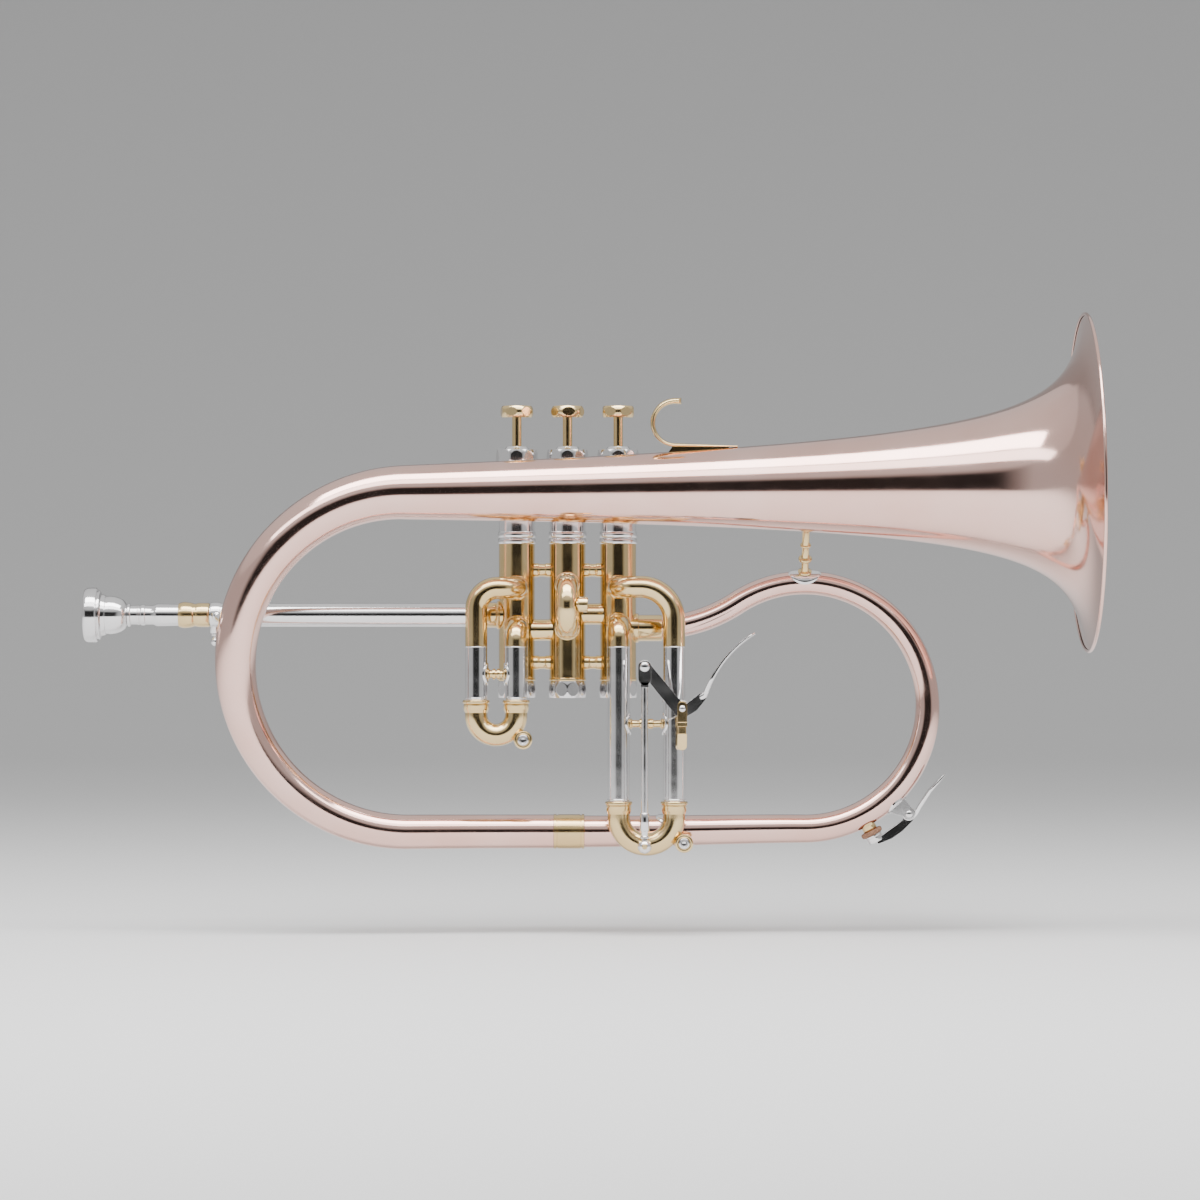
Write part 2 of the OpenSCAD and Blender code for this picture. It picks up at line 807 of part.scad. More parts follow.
// The barrel of a push-button water key, along Y against the crook.
module key_barrel(p) {
    difference() {
        towards_front(p + [0, 5, 0]) cylinder(r = 4.2, h = 10);
        towards_front(p + [0, 3.5, 0]) cylinder(r = 2.5, h = 10);
    }
}
module key_button(p) {
    color(nickel)
        union() {
            towards_front(p + [0, 0.5, 0]) cylinder(r = 2.5 - play, h = 6.2);
            towards_front(p + [0, 1, 0]) cylinder(r = 1.2, h = 1);
        }
}

module first_crook() {
    color(brass)
        union() {
            hanging_crook(first_left_x, first_right_x, first_end, first_crook_z, first_crook_r);
            difference() {
                key_barrel(first_key);
                bend([first_mid_x, slide_y, first_crook_z], first_crook_r, slide_r - 0.3, 0, 180, 180);
            }
        }
}

module third_crook() {
    color(brass)
        union() {
            hanging_crook(third_left_x, third_right_x, third_end, third_crook_z, third_crook_r);
            difference() {
                key_barrel(third_key);
                bend([third_mid_x, slide_y, third_crook_z], third_crook_r, slide_r - 0.3, 0, 180, 180);
            }
            towards_front([clevis_x, slide_y - slide_r + 0.4, ball_z]) cylinder(r = 1.3, h = 8.7);
        }
}

module second_crook() {
    color(brass)
        translate([0, second_crook_y, 0])
            union() {
                for (z = [second_upper_z, second_lower_z])
                    translate([0, 0, z])
                        rotate([90, 0, 0])
                            union() {
                                translate([0, 0, -14]) tube(inner_r, inner_r - wall, 14);
                                translate([0, 0, second_crook_y - second_end_y + 0.2])
                                    tube(slide_r + 0.6, inner_r - 0.3, 2.8);
                            }
                rotate([0, 0, -90])
                    bend([0, 0, second_mid_z], second_crook_r, second_r, inner_r - wall, -90, 180);
            }
}

module second_knob() {
    front_y = second_crook_y - second_crook_r;
    color(brass)
        difference() {
            translate([0, front_y, knob_z])
                along_x(3)
                    rotate_extrude()
                        union() {
                            square([2.2, 6.6]);
                            translate([0, 2]) square([3.3, 4.7]);
                            translate([0, 2.4]) square([3.65, 3.9]);
                        }
            translate([0, second_crook_y, 0])
                rotate([0, 0, -90])
                    bend([0, 0, second_mid_z], second_crook_r, second_r, 0, -90, 180);
        }
}

module lever_outline() {
    difference() {
        union() {
            hull() {
                translate([clevis_x, clevis_z]) circle(r = 3.1);
                translate([pivot_x, pivot_z]) circle(r = 3.3);
            }
            hull() {
                translate([pivot_x, pivot_z]) circle(r = 3.3);
                translate([pivot_x + 7.6, pivot_z + 4.3]) circle(r = 3.2);
                translate([pivot_x + 10.2, pivot_z + 6.4]) circle(r = 1.6);
            }
        }
        translate([clevis_x, clevis_z]) circle(r = pin_hole_r);
        translate([pivot_x, pivot_z]) circle(r = 1 + play);
    }
}

module trigger_lever() {
    centre = paddle_start + polar(paddle_r, paddle_heading - 90);
    color(nickel)
        union() {
            translate([0, lever_y + lever_half, 0])
                rotate([90, 0, 0]) linear_extrude(2 * lever_half) lever_outline();
            translate([centre[0], lever_y + paddle_width / 2, centre[1]])
                rotate([90, 0, 0])
                    rotate([0, 0, paddle_heading + 90 - paddle_sweep])
                        rotate_extrude(angle = paddle_sweep, $fn = 128)
                            translate([paddle_r - paddle_thick / 2, 0]) square([paddle_thick, paddle_width]);
        }
}

module trigger_rod() {
    plate_gap = lever_half + 0.35;
    color(nickel)
        union() {
            for (y = [lever_y + plate_gap + 1, lever_y - plate_gap])
                hull()
                    for (z = [clevis_z, clevis_z - clevis_drop])
                        towards_front([clevis_x, y, z]) cylinder(r = 3.1, h = 1, $fn = 32);
            towards_front([clevis_x, lever_y + plate_gap + 1, clevis_z])
                cylinder(r = pin_r, h = 2 * plate_gap + 2.4);
            translate([clevis_x - 1.8, lever_y - plate_gap - 1, clevis_z - clevis_drop - 3.9])
                cube([3.6, 2 * plate_gap + 2, 2.5]);
            translate([clevis_x, lever_y, ball_z + 2.4]) cylinder(r = 1.6, h = clevis_z - 8 - ball_z - 2.4);
            translate([clevis_x, lever_y, ball_z + 4.4]) cylinder(r = 2.1, h = 9.6);
            difference() {
                translate([clevis_x, lever_y, ball_z]) sphere(r = ball_r);
                towards_front([clevis_x, lever_y + 5, ball_z]) cylinder(r = 1.3 + play, h = 10);
            }
        }
}

// The tapered hollow that a mouthpiece shank fits.
module shank_taper(gap) {
    along_x(receiver_end - eps) cylinder(r1 = 5.05 + gap, r2 = 4.05 + gap, h = shank_end - receiver_end);
}

module inner_leadpipe() {
    start = receiver_end + receiver_length;
    color(nickel)
        difference() {
            along_x(start) cylinder(r = sleeve_bore - play, h = inner_pipe_end - start);
            along_x(shank_end - 1) cylinder(r = 4.05, h = 200);
            shank_taper(play);
        }
}

module receiver() {
    color(brass)
        difference() {
            along_x(receiver_end)
                rotate_extrude()
                    union() {
                        square([5.45, receiver_length]);
                        intersection() {
                            square([6, 6.6]);
                            translate([0, 3.3]) circle(r = 6.6);
                        }
                        translate([0, 7.4]) square([5.8, 1.2]);
                    }
            shank_taper(play);
        }
}

module mouthpiece() {
    length = shank_end - mouth_x;
    outline = [
        [0, 7], [11.4, 7], [9.4, 8.6], [8.9, 11], [8.9, 13.2], [8.5, 15.6], [7.8, 17.4], [6.6, 19],
        [5.3, 20.4], [4.7, 22], [4.7, 25.2], [5.1, 26.2], [5.1, 27.2], [4.7, 28.2], [4.7, 32.8],
        [5.25, 33.8], [5.2, 37], [5.05, receiver_end - mouth_x - eps], [4.05, length], [0, length],
    ];
    hollow = [
        [0, -1], [9.2, -1], [8.5, 0.9], [8, 4], [7, 9], [5.4, 13.4], [1.9, 18.5], [1.9, 21],
        [3.2, length + 1], [0, length + 1],
    ];
    color(nickel)
        translate([mouth_x, 0, 0])
            rotate([0, 90, 0])
                difference() {
                    rotate_extrude($fn = 96)
                        union() {
                            square([10.8, 7.1]);
                            intersection() {
                                translate([10.6, 3.55]) scale([0.66, 1]) circle(r = 3.55);
                                square([mouth_r, 7.1]);
                            }
                            polygon(outline);
                        }
                    rotate_extrude($fn = 96) polygon(hollow);
                }
}

module lock_screw() {
    color(nickel)
        translate([lock_x, 0, 0])
            union() {
                translate([0, 0, -12.5]) cylinder(r = 1.5, h = 7.6);
                translate([0, 0, -10.3]) cylinder(r = 2.1, h = 1.2);
                translate([0, 0, -12.4]) sphere(r = 2.2);
            }
}

module water_key() {
    cup_x = [loop_x, loop_z] + polar(key_nipple_end + key_cork + 1.6, key_angle);
    color(nickel)
        union() {
            out_along(key_angle, key_nipple_end + key_cork) cylinder(r1 = 4.6, r2 = 3.2, h = 3.2);
            difference() {
                union() {
                    towards_front([key_pivot[0], 2.4, key_pivot[1]]) cylinder(r = 2.5, h = 4.8);
                    rotate([90, 0, 0])
                        translate([0, 0, -1.6])
                            linear_extrude(3.2)
                                union() {
                                    polygon([
                                        cup_x + [-1.2, -1],
                                        cup_x + [1.6, -1.6],
                                        key_pivot + [2, -1.8],
                                        key_pivot + [-1, 1.5],
                                    ]);
                                    polygon([
                                        key_pivot + [-1, 1.5],
                                        key_pivot + [2, -1.8],
                                        key_bend + [1.2, -0.4],
                                        key_bend + [0, 0.6],
                                    ]);
                                }
                    rotate([90, 0, 0])
                        translate([0, 0, -4])
                            linear_extrude(8)
                                polygon([
                                    key_bend + [-1.2, -1.6],
                                    key_bend + [0.2, -1.8],
                                    key_tip + [0.5, -0.5],
                                    key_tip + [-0.4, 0.3],
                                ]);
                }
                towards_front([key_pivot[0], 6, key_pivot[1]]) cylinder(r = 0.9 + play, h = 12);
            }
        }
}

module key_cork() color("#9a6b4a") out_along(key_angle, key_nipple_end) cylinder(r = 4.95, h = key_cork);

bell();
bow();
bow_ferrule();
loop_tube();
exit_ferrule();
casing(0);  // casing_1
casing(1);  // casing_2
casing(2);  // casing_3
barrel(0);  // barrel_1
barrel(1);  // barrel_2
barrel(2);  // barrel_3
top_cap(0);  // top_cap_1
top_cap(1);  // top_cap_2
top_cap(2);  // top_cap_3
bottom_cap(0);  // bottom_cap_1
bottom_cap(1);  // bottom_cap_2
bottom_cap(2);  // bottom_cap_3
valve_braces();
knuckles();
leadpipe_sleeve();
leadpipe_ferrule();
leadpipe_collar();
first_elbows();
first_outer_tubes();
first_brace();
second_outer_tubes();
third_elbows();
third_outer_tubes();
third_brace();
trigger_post();
tube_foot();
bell_brace();
brace_saddle();
finger_hook();
key_nipple();
key_saddle();
piston(0);  // piston_1
piston(1);  // piston_2
piston(2);  // piston_3
button(0);  // button_1
button(1);  // button_2
button(2);  // button_3
valve_spring(0);  // valve_spring_1
valve_spring(1);  // valve_spring_2
valve_spring(2);  // valve_spring_3
first_crook();
key_button(first_key);  // first_key_button
second_crook();
second_knob();
third_crook();
key_button(third_key);  // third_key_button
trigger_lever();
trigger_rod();
inner_leadpipe();
receiver();
mouthpiece();
lock_screw();
water_key();
key_cork();
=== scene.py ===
"""Flugelhorn: smooth metal skins, small fittings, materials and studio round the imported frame.

Lengths are in millimetres until a mesh is made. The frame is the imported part's: +X to the bell,
+Z to the finger buttons, -Y to the camera, with the origin on the second valve's axis.
"""

import math

import bpy
from mathutils import Matrix, Vector


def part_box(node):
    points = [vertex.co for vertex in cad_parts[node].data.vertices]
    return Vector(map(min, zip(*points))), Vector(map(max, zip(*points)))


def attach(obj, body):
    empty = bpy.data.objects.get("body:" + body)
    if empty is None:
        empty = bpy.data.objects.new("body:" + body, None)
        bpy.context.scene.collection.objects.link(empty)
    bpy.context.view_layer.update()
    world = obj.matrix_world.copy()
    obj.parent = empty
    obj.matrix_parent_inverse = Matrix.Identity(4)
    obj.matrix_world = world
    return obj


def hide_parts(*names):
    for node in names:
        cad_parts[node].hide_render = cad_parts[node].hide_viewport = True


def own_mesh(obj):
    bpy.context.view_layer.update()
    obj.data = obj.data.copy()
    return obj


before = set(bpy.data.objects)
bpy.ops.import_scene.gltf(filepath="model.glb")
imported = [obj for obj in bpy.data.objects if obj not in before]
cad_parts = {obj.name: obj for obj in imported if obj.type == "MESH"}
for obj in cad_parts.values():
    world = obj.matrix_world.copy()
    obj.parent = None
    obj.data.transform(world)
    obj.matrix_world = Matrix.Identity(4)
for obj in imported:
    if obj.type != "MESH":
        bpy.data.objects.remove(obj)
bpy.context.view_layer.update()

MM = 0.001
X, Y, Z = Vector((1, 0, 0)), Vector((0, 1, 0)), Vector((0, 0, 1))


# ---------------------------------------------------------------- measures


def low(node):
    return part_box(node)[0] / MM


def high(node):
    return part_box(node)[1] / MM


def middle(node):
    return (low(node) + high(node)) / 2


VALVE_X = [middle(f"casing_{i}").x for i in (1, 2, 3)]
CASING_R = (high("casing_1").x - low("casing_1").x) / 2
BORE_R = 7.2
CASING_LOW, CASING_TOP = low("casing_1").z, high("casing_1").z
BARREL_TOP = high("barrel_1").z
CAP_LOW, CAP_TOP = low("bottom_cap_1").z, 77.6
BUTTON_LOW, BUTTON_TOP = low("button_1").z, high("button_1").z
STEM_R = 2.25

BELL_Y = middle("bell").y
RIM_R = (high("bell").y - low("bell").y) / 2
BELL_TILT = math.radians(0.8)
RIM_CENTRE = Vector((241.5, BELL_Y, 61.4))
BELL_AXIS = Vector((math.cos(BELL_TILT), 0, math.sin(BELL_TILT)))
SHEET = 0.7
RIM_WIRE = 0.9
FLARE_SCALE, FLARE_SHIFT, FLARE_POWER, FLARE_BASE = 138.58, 3.135, 0.1986, 31.48

BOW_X = -74.8
BOW_R = 79.3
BOW_TOP = RIM_CENTRE.z - (RIM_CENTRE.x - BOW_X) * math.tan(BELL_TILT)
BOW_CENTRE = Vector((BOW_X, 0, BOW_TOP - BOW_R))
BOTTOM_Z = BOW_TOP - 2 * BOW_R
BOTTOM_Y = middle("bow_ferrule").y
FERRULE_LOW, FERRULE_HIGH = low("bow_ferrule").x, high("bow_ferrule").x
BOW_LENGTH = math.pi * BOW_R + FERRULE_LOW - BOW_X
BOW_SHIFT = 60
BOW_END_R = 7.95
BOW_TAPER = 2.2

BOTTOM_RISE = 1.2
LOOP_R = 57.8
LOOP_CENTRE = Vector((111.4, 0, BOTTOM_Z + BOTTOM_RISE + LOOP_R))
LOOP_START_R = 7.5
LOOP_TAPER = 200
EXIT_R = 5.5
EXIT_Z = middle("exit_ferrule").z
EXIT_STRAIGHT = 40
S_RUN, S_DROP = LOOP_CENTRE.x - EXIT_STRAIGHT, EXIT_Z - LOOP_CENTRE.z
S_R = (S_RUN ** 2 + S_DROP ** 2 - LOOP_R ** 2) / (2 * (LOOP_R - S_DROP))
S_ANGLE = math.atan2(S_RUN, S_R + S_DROP)

TUBE_R = 5.2
INNER_R = 4.6
SLIDE_BORE = INNER_R + 0.05
ELBOW_END = high("first_outer_tubes").z
SLIDE_Y = middle("first_outer_tubes").y
FIRST_X = (low("first_outer_tubes").x + TUBE_R, high("first_outer_tubes").x - TUBE_R)
THIRD_X = (low("third_outer_tubes").x + TUBE_R, high("third_outer_tubes").x - TUBE_R)
FIRST_END, THIRD_END = low("first_outer_tubes").z, low("third_outer_tubes").z
FIRST_CROOK_Z, THIRD_CROOK_Z = -46.5, -94
FIRST_BRACE_Z, THIRD_BRACE_Z = middle("first_brace").z, middle("third_brace").z
SECOND_Z = (-5.8, 14.3)
SECOND_END_Y, SECOND_CROOK_Y = -22.5, -25.5
SECOND_R = 4.95
PORT_Y = -7.6

PIVOT = Vector((53.4, -27.6, -43.3))
CLEVIS = Vector((middle("trigger_rod").x, PIVOT.y, high("trigger_rod").z - 3.1))
BALL_Z = -107.2
KEY_ANGLE = math.radians(-62.1)
KEY_PIVOT = Vector((160.3, 0, -93.4))


# ---------------------------------------------------------------- shape formulas


def spoke(angle):
    """The unit vector at an angle in the XZ plane, turning from +X towards +Z."""
    return Vector((math.cos(angle), 0, math.sin(angle)))


def ease(t):
    u = min(max(t, 0), 1)
    return u * u * (3 - 2 * u)


def flare(s):
    """Outside radius of the bell at the distance s from its rim."""
    return FLARE_SCALE / (s + FLARE_SHIFT) ** FLARE_POWER - FLARE_BASE


def bow_point(s):
    angle = min(s / BOW_R, math.pi)
    over = max(s - math.pi * BOW_R, 0)
    y = BELL_Y + (BOTTOM_Y - BELL_Y) * ease((s - BOW_SHIFT) / (BOW_LENGTH - BOW_SHIFT))
    return Vector((BOW_X - BOW_R * math.sin(angle) + over, y, BOW_CENTRE.z + BOW_R * math.cos(angle)))


def bow_radius(s):
    start = flare((RIM_CENTRE.x - BOW_X) / math.cos(BELL_TILT))
    return BOW_END_R + (start - BOW_END_R) * max(1 - s / BOW_LENGTH, 0) ** BOW_TAPER


BOTTOM_RUN = LOOP_CENTRE.x - FERRULE_HIGH
LOOP_ARC = LOOP_R * (math.pi + S_ANGLE)
S_ARC = S_R * S_ANGLE
LOOP_LENGTH = BOTTOM_RUN + LOOP_ARC + S_ARC + EXIT_STRAIGHT - VALVE_X[2] - CASING_R


def loop_point(s):
    y = BOTTOM_Y * (1 - ease(2 * s / BOTTOM_RUN - 1))
    if s < BOTTOM_RUN:
        return Vector((FERRULE_HIGH + s, y, BOTTOM_Z + BOTTOM_RISE * ease(s / BOTTOM_RUN)))
    s -= BOTTOM_RUN
    if s < LOOP_ARC:
        a = s / LOOP_R - math.pi / 2
        return LOOP_CENTRE + LOOP_R * spoke(a)
    s -= LOOP_ARC
    if s < S_ARC:
        a = S_ANGLE - math.pi / 2 - s / S_R
        return Vector((EXIT_STRAIGHT, 0, EXIT_Z + S_R)) + S_R * spoke(a)
    return Vector((EXIT_STRAIGHT - (s - S_ARC), 0, EXIT_Z))


def loop_radius(s):
    return EXIT_R + (LOOP_START_R - EXIT_R) * max(1 - s / LOOP_TAPER, 0) ** 0.8


def smooth_profile(points, steps=8):
    """A Catmull-Rom curve through (radius, height) points."""
    p = [points[0]] + list(points) + [points[-1]]
    out = []
    for i in range(1, len(p) - 2):
        for k in range(steps):
            t = k / steps
            out.append(tuple(
                0.5 * (2 * p[i][c] + (p[i + 1][c] - p[i - 1][c]) * t
                       + (2 * p[i - 1][c] - 5 * p[i][c] + 4 * p[i + 1][c] - p[i + 2][c]) * t * t
                       + (3 * p[i][c] - p[i - 1][c] - 3 * p[i + 1][c] + p[i + 2][c]) * t ** 3)
                for c in (0, 1)
            ))
    out.append(tuple(points[-1]))
    return out


def bead(height, length, r, bulge, steps=8):
    """Profile points of a half-round bead that stands bulge proud of radius r."""
    return [
        (r + bulge * math.sin(math.pi * k / steps), height + length * (1 - math.cos(math.pi * k / steps)) / 2)
        for k in range(steps + 1)
    ]


# ---------------------------------------------------------------- materials


def put(node, values):
    """Sets the inputs of a shader node by name."""
    for name, value in values.items():
        node.inputs[name].default_value = value


def shaded(name):
    """A new material, with its nodes, links and main shader."""
    m = bpy.data.materials.new(name)
    m.use_nodes = True
    return m, m.node_tree.nodes, m.node_tree.links, m.node_tree.nodes["Principled BSDF"]


def metal(name, colour, deep, rough, coat=0.0):
    """Polished metal: slow tone drift, wiping marks in the roughness and a very fine bump."""
    m, nodes, links, shader = shaded(name)
    put(shader, {"Metallic": 1.0, "Coat Weight": coat, "Coat Roughness": 0.05})
    where = nodes.new("ShaderNodeTexCoord")

    def noise(scale, detail, stretch=(1, 1, 1)):
        mapping = nodes.new("ShaderNodeMapping")
        put(mapping, {"Scale": stretch})
        links.new(where.outputs["Object"], mapping.inputs["Vector"])
        n = nodes.new("ShaderNodeTexNoise")
        put(n, {"Scale": scale, "Detail": detail})
        links.new(mapping.outputs["Vector"], n.inputs["Vector"])
        return n

    drift = noise(22, 3)
    ramp = nodes.new("ShaderNodeValToRGB")
    ramp.color_ramp.elements[0].position = 0.30
    ramp.color_ramp.elements[0].color = (*deep, 1)
    ramp.color_ramp.elements[1].position = 0.68
    ramp.color_ramp.elements[1].color = (*colour, 1)
    links.new(drift.outputs["Fac"], ramp.inputs["Fac"])
    links.new(ramp.outputs["Color"], shader.inputs["Base Color"])

    smudge = noise(65, 5, (1, 1, 2.5))
    grain = noise(1400, 2, (1, 1, 6))
    spread = nodes.new("ShaderNodeMapRange")
    put(spread, {"From Min": 0.35, "From Max": 0.75, "To Min": rough, "To Max": rough * 1.9})
    links.new(smudge.outputs["Fac"], spread.inputs["Value"])
    fine = nodes.new("ShaderNodeMath")
    fine.operation = "MULTIPLY_ADD"
    fine.inputs[1].default_value = 0.03
    links.new(grain.outputs["Fac"], fine.inputs[0])
    links.new(spread.outputs["Result"], fine.inputs[2])
    links.new(fine.outputs["Value"], shader.inputs["Roughness"])

    bump = nodes.new("ShaderNodeBump")
    put(bump, {"Strength": 0.03, "Distance": 0.00005})
    links.new(grain.outputs["Fac"], bump.inputs["Height"])
    links.new(bump.outputs["Normal"], shader.inputs["Normal"])
    return m


def cork_material():
    """Ground cork: brown grains with dark pores."""
    m, nodes, links, shader = shaded("cork")
    where = nodes.new("ShaderNodeTexCoord")
    grains = nodes.new("ShaderNodeTexVoronoi")
    put(grains, {"Scale": 1500})
    links.new(where.outputs["Object"], grains.inputs["Vector"])
    ramp = nodes.new("ShaderNodeValToRGB")
    ramp.color_ramp.elements[0].color = (0.10, 0.045, 0.025, 1)
    ramp.color_ramp.elements[1].color = (0.42, 0.22, 0.13, 1)
    links.new(grains.outputs["Distance"], ramp.inputs["Fac"])
    links.new(ramp.outputs["Color"], shader.inputs["Base Color"])
    put(shader, {"Roughness": 0.75})
    bump = nodes.new("ShaderNodeBump")
    put(bump, {"Strength": 0.5, "Distance": 0.0002})
    links.new(grains.outputs["Distance"], bump.inputs["Height"])
    links.new(bump.outputs["Normal"], shader.inputs["Normal"])
    return m


COPPER = metal("rose_copper", (0.90, 0.61, 0.54), (0.85, 0.53, 0.45), 0.07, coat=0.15)
BRASS = metal("yellow_brass", (0.84, 0.64, 0.33), (0.74, 0.53, 0.25), 0.10, coat=0.15)
SILVER = metal("silver_plate", (0.86, 0.85, 0.85), (0.78, 0.77, 0.78), 0.08)
STEEL = metal("spring_steel", (0.70, 0.69, 0.68), (0.60, 0.59, 0.58), 0.18)
CORK = cork_material()


# ---------------------------------------------------------------- mesh makers


def piece(name, geometry, material, body="horn", replaces=(), edge=0.0, crease=40):
    """One object made of vertices in millimetres, riding on a CAD body."""
    verts, faces = geometry
    mesh = bpy.data.meshes.new(name)
    mesh.from_pydata([tuple(MM * c for c in v) for v in verts], [], faces)
    mesh.materials.append(material)
    mesh.polygons.foreach_set("use_smooth", [True] * len(mesh.polygons))
    mesh.set_sharp_from_angle(angle=math.radians(crease))
    obj = bpy.data.objects.new(name, mesh)
    bpy.context.scene.collection.objects.link(obj)
    if edge > 0:
        bevel = obj.modifiers.new("edges", "BEVEL")
        bevel.width = edge * MM
        bevel.segments = 2
        bevel.limit_method = "ANGLE"
        bevel.angle_limit = math.radians(crease)
        bevel.harden_normals = True
    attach(obj, body)
    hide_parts(*replaces)
    return obj


def skin(node, geometry, material, **more):
    """The smooth piece that stands in for one CAD node."""
    piece(node + "_skin", geometry, material, replaces=[node], **more)


def joined(*geometries):
    verts, faces = [], []
    for v, f in geometries:
        start = len(verts)
        verts += list(v)
        faces += [[i + start for i in face] for face in f]
    return verts, faces


def basis(axis):
    """Two unit vectors square to an axis, and the axis."""
    a = axis.normalized()
    side = (Y if abs(a.y) < 0.9 else X).cross(a).normalized()
    return side, a.cross(side), a


def lathe(profile, origin, axis, segments=64, shape=None):
    """Turns (radius, height) points about an axis; radius 0 makes a pole. shape may alter a radius."""
    u, v, a = basis(axis)
    verts, rings = [], []
    for r, h in profile:
        if r < 1e-6:
            rings.append([len(verts)])
            verts.append(origin + a * h)
            continue
        rings.append(list(range(len(verts), len(verts) + segments)))
        for k in range(segments):
            t = 2 * math.pi * k / segments
            q = shape(r, t) if shape else r
            verts.append(origin + a * h + q * (math.cos(t) * u + math.sin(t) * v))
    faces = []
    for one, two in zip(rings, rings[1:]):
        for k in range(segments):
            m = (k + 1) % segments
            if len(one) == 1 and len(two) == 1:
                break
            if len(one) == 1:
                faces.append([one[0], two[m], two[k]])
            elif len(two) == 1:
                faces.append([one[k], one[m], two[0]])
            else:
                faces.append([one[k], one[m], two[m], two[k]])
    return verts, faces


def pipe(r, bore, h, ends=0.25):
    """Closed profile of a plain tube with eased ends."""
    return [(bore, 0), (r - ends, 0), (r, ends), (r, h - ends), (r - ends, h), (bore, h), (bore, 0)]


def tangents(path):
    last = len(path) - 1
    return [(path[min(i + 1, last)] - path[max(i - 1, 0)]).normalized() for i in range(last + 1)]


def ring_faces(rings, sides):
    """Faces of a closed tube made of rings of vertices, with a cap at each end."""
    faces = []
    for i in range(rings - 1):
        for k in range(sides):
            m = (k + 1) % sides
            faces.append([i * sides + k, i * sides + m, (i + 1) * sides + m, (i + 1) * sides + k])
    faces.append([sides - 1 - k for k in range(sides)])
    faces.append([(rings - 1) * sides + k for k in range(sides)])
    return faces


def sweep(path, radii, sides=40):
    """A closed round tube along a path, its rings carried along without twist."""
    verts, side = [], None
    for i, (c, t) in enumerate(zip(path, tangents(path))):
        side = basis(t)[0] if side is None else (side - side.dot(t) * t).normalized()
        other = t.cross(side)
        for k in range(sides):
            a = 2 * math.pi * k / sides
            verts.append(c + radii[i] * (math.cos(a) * side + math.sin(a) * other))
    return verts, ring_faces(len(path), sides)


def ribbon(path, half_wide, half_thick, sides=28, square=3.0, dish=0.0):
    """A flat strip along a path in an XZ plane, with a rounded-rectangle section; dish lifts its edges."""
    verts = []
    for c, t, w, h in zip(path, tangents(path), half_wide, half_thick):
        up = Vector((-t.z, 0, t.x))
        for k in range(sides):
            a = 2 * math.pi * k / sides
            ca, sa = math.cos(a), math.sin(a)
            p = math.copysign(abs(ca) ** (2 / square), ca)
            q = math.copysign(abs(sa) ** (2 / square), sa)
            verts.append(c + w * p * Y + (h * q + dish * p * p) * up)
    return verts, ring_faces(len(path), sides)


def route(corners, bends, step=0.8):
    """A path through corner points with each inner corner rounded to its own radius."""
    path = [corners[0]]
    for i in range(1, len(corners) - 1):
        c = corners[i]
        back = (corners[i - 1] - c).normalized()
        on = (corners[i + 1] - c).normalized()
        half = back.angle(on) / 2
        r = bends[i - 1]
        reach = r / math.tan(half)
        centre = c + (back + on).normalized() * (r / math.sin(half))
        first, last = c + back * reach - centre, c + on * reach - centre
        sweep_angle = math.pi - 2 * half
        steps = max(int(r * sweep_angle / step), 6)
        axis = first.cross(last).normalized()
        for k in range(steps + 1):
            path.append(centre + Matrix.Rotation(sweep_angle * k / steps, 3, axis) @ first)
    path.append(corners[-1])
    clean = [path[0]]
    for p in path[1:]:
        if (p - clean[-1]).length > 0.02:
            clean.append(p)
    return clean


def extruded(outline, y_front, y_back):
    """An (x, z) outline made into a plate between two Y planes."""
    n = len(outline)
    verts = [Vector((x, y, z)) for y in (y_front, y_back) for x, z in outline]
    faces = [[k, (k + 1) % n, n + (k + 1) % n, n + k] for k in range(n)]
    faces.append([n - 1 - k for k in range(n)])
    faces.append([n + k for k in range(n)])
    return verts, faces


def rectangle(x, half_wide, first_z, last_z):
    """An (x, z) outline of four corners."""
    left, right = x - half_wide, x + half_wide
    return [(left, first_z), (right, first_z), (right, last_z), (left, last_z)]


def block(x, half_wide, first_z, last_z, y_front, y_back):
    return extruded(rectangle(x, half_wide, first_z, last_z), y_front, y_back)


def leaning(outline, y_front, y_back, lean, level):
    """A plate whose front face goes back by lean for each millimetre below a level."""
    verts, faces = extruded(outline, y_front, y_back)
    n = len(outline)
    return [v + Y * (lean * (level - v.z)) for v in verts[:n]] + verts[n:], faces


def capsule(a, ra, b, rb, steps=20):
    """Outline round two circles, as (x, z) points."""
    d = Vector((b[0] - a[0], b[1] - a[1]))
    heading = math.atan2(d.y, d.x)
    lean = math.acos((ra - rb) / d.length)
    out = []
    for k in range(steps + 1):
        t = heading + lean + (2 * math.pi - 2 * lean) * k / steps
        out.append((a[0] + ra * math.cos(t), a[1] + ra * math.sin(t)))
    for k in range(steps + 1):
        t = heading - lean + 2 * lean * k / steps
        out.append((b[0] + rb * math.cos(t), b[1] + rb * math.sin(t)))
    return out


def rounded(corners, radii, steps=8):
    """A closed (x, z) outline with each corner rounded to its own radius."""
    out = []
    count = len(corners)
    for i, (corner, r) in enumerate(zip(corners, radii)):
        c = Vector(corner)
        back = (Vector(corners[i - 1]) - c).normalized()
        on = (Vector(corners[(i + 1) % count]) - c).normalized()
        half = back.angle(on) / 2
        centre = c + (back + on).normalized() * (r / math.sin(half))
        first, last = c + back * (r / math.tan(half)) - centre, c + on * (r / math.tan(half)) - centre
        turn = math.atan2(first.x * last.y - first.y * last.x, first.dot(last))
        for k in range(steps + 1):
            a = turn * k / steps
            out.append((centre.x + first.x * math.cos(a) - first.y * math.sin(a),
                        centre.y + first.x * math.sin(a) + first.y * math.cos(a)))
    return out


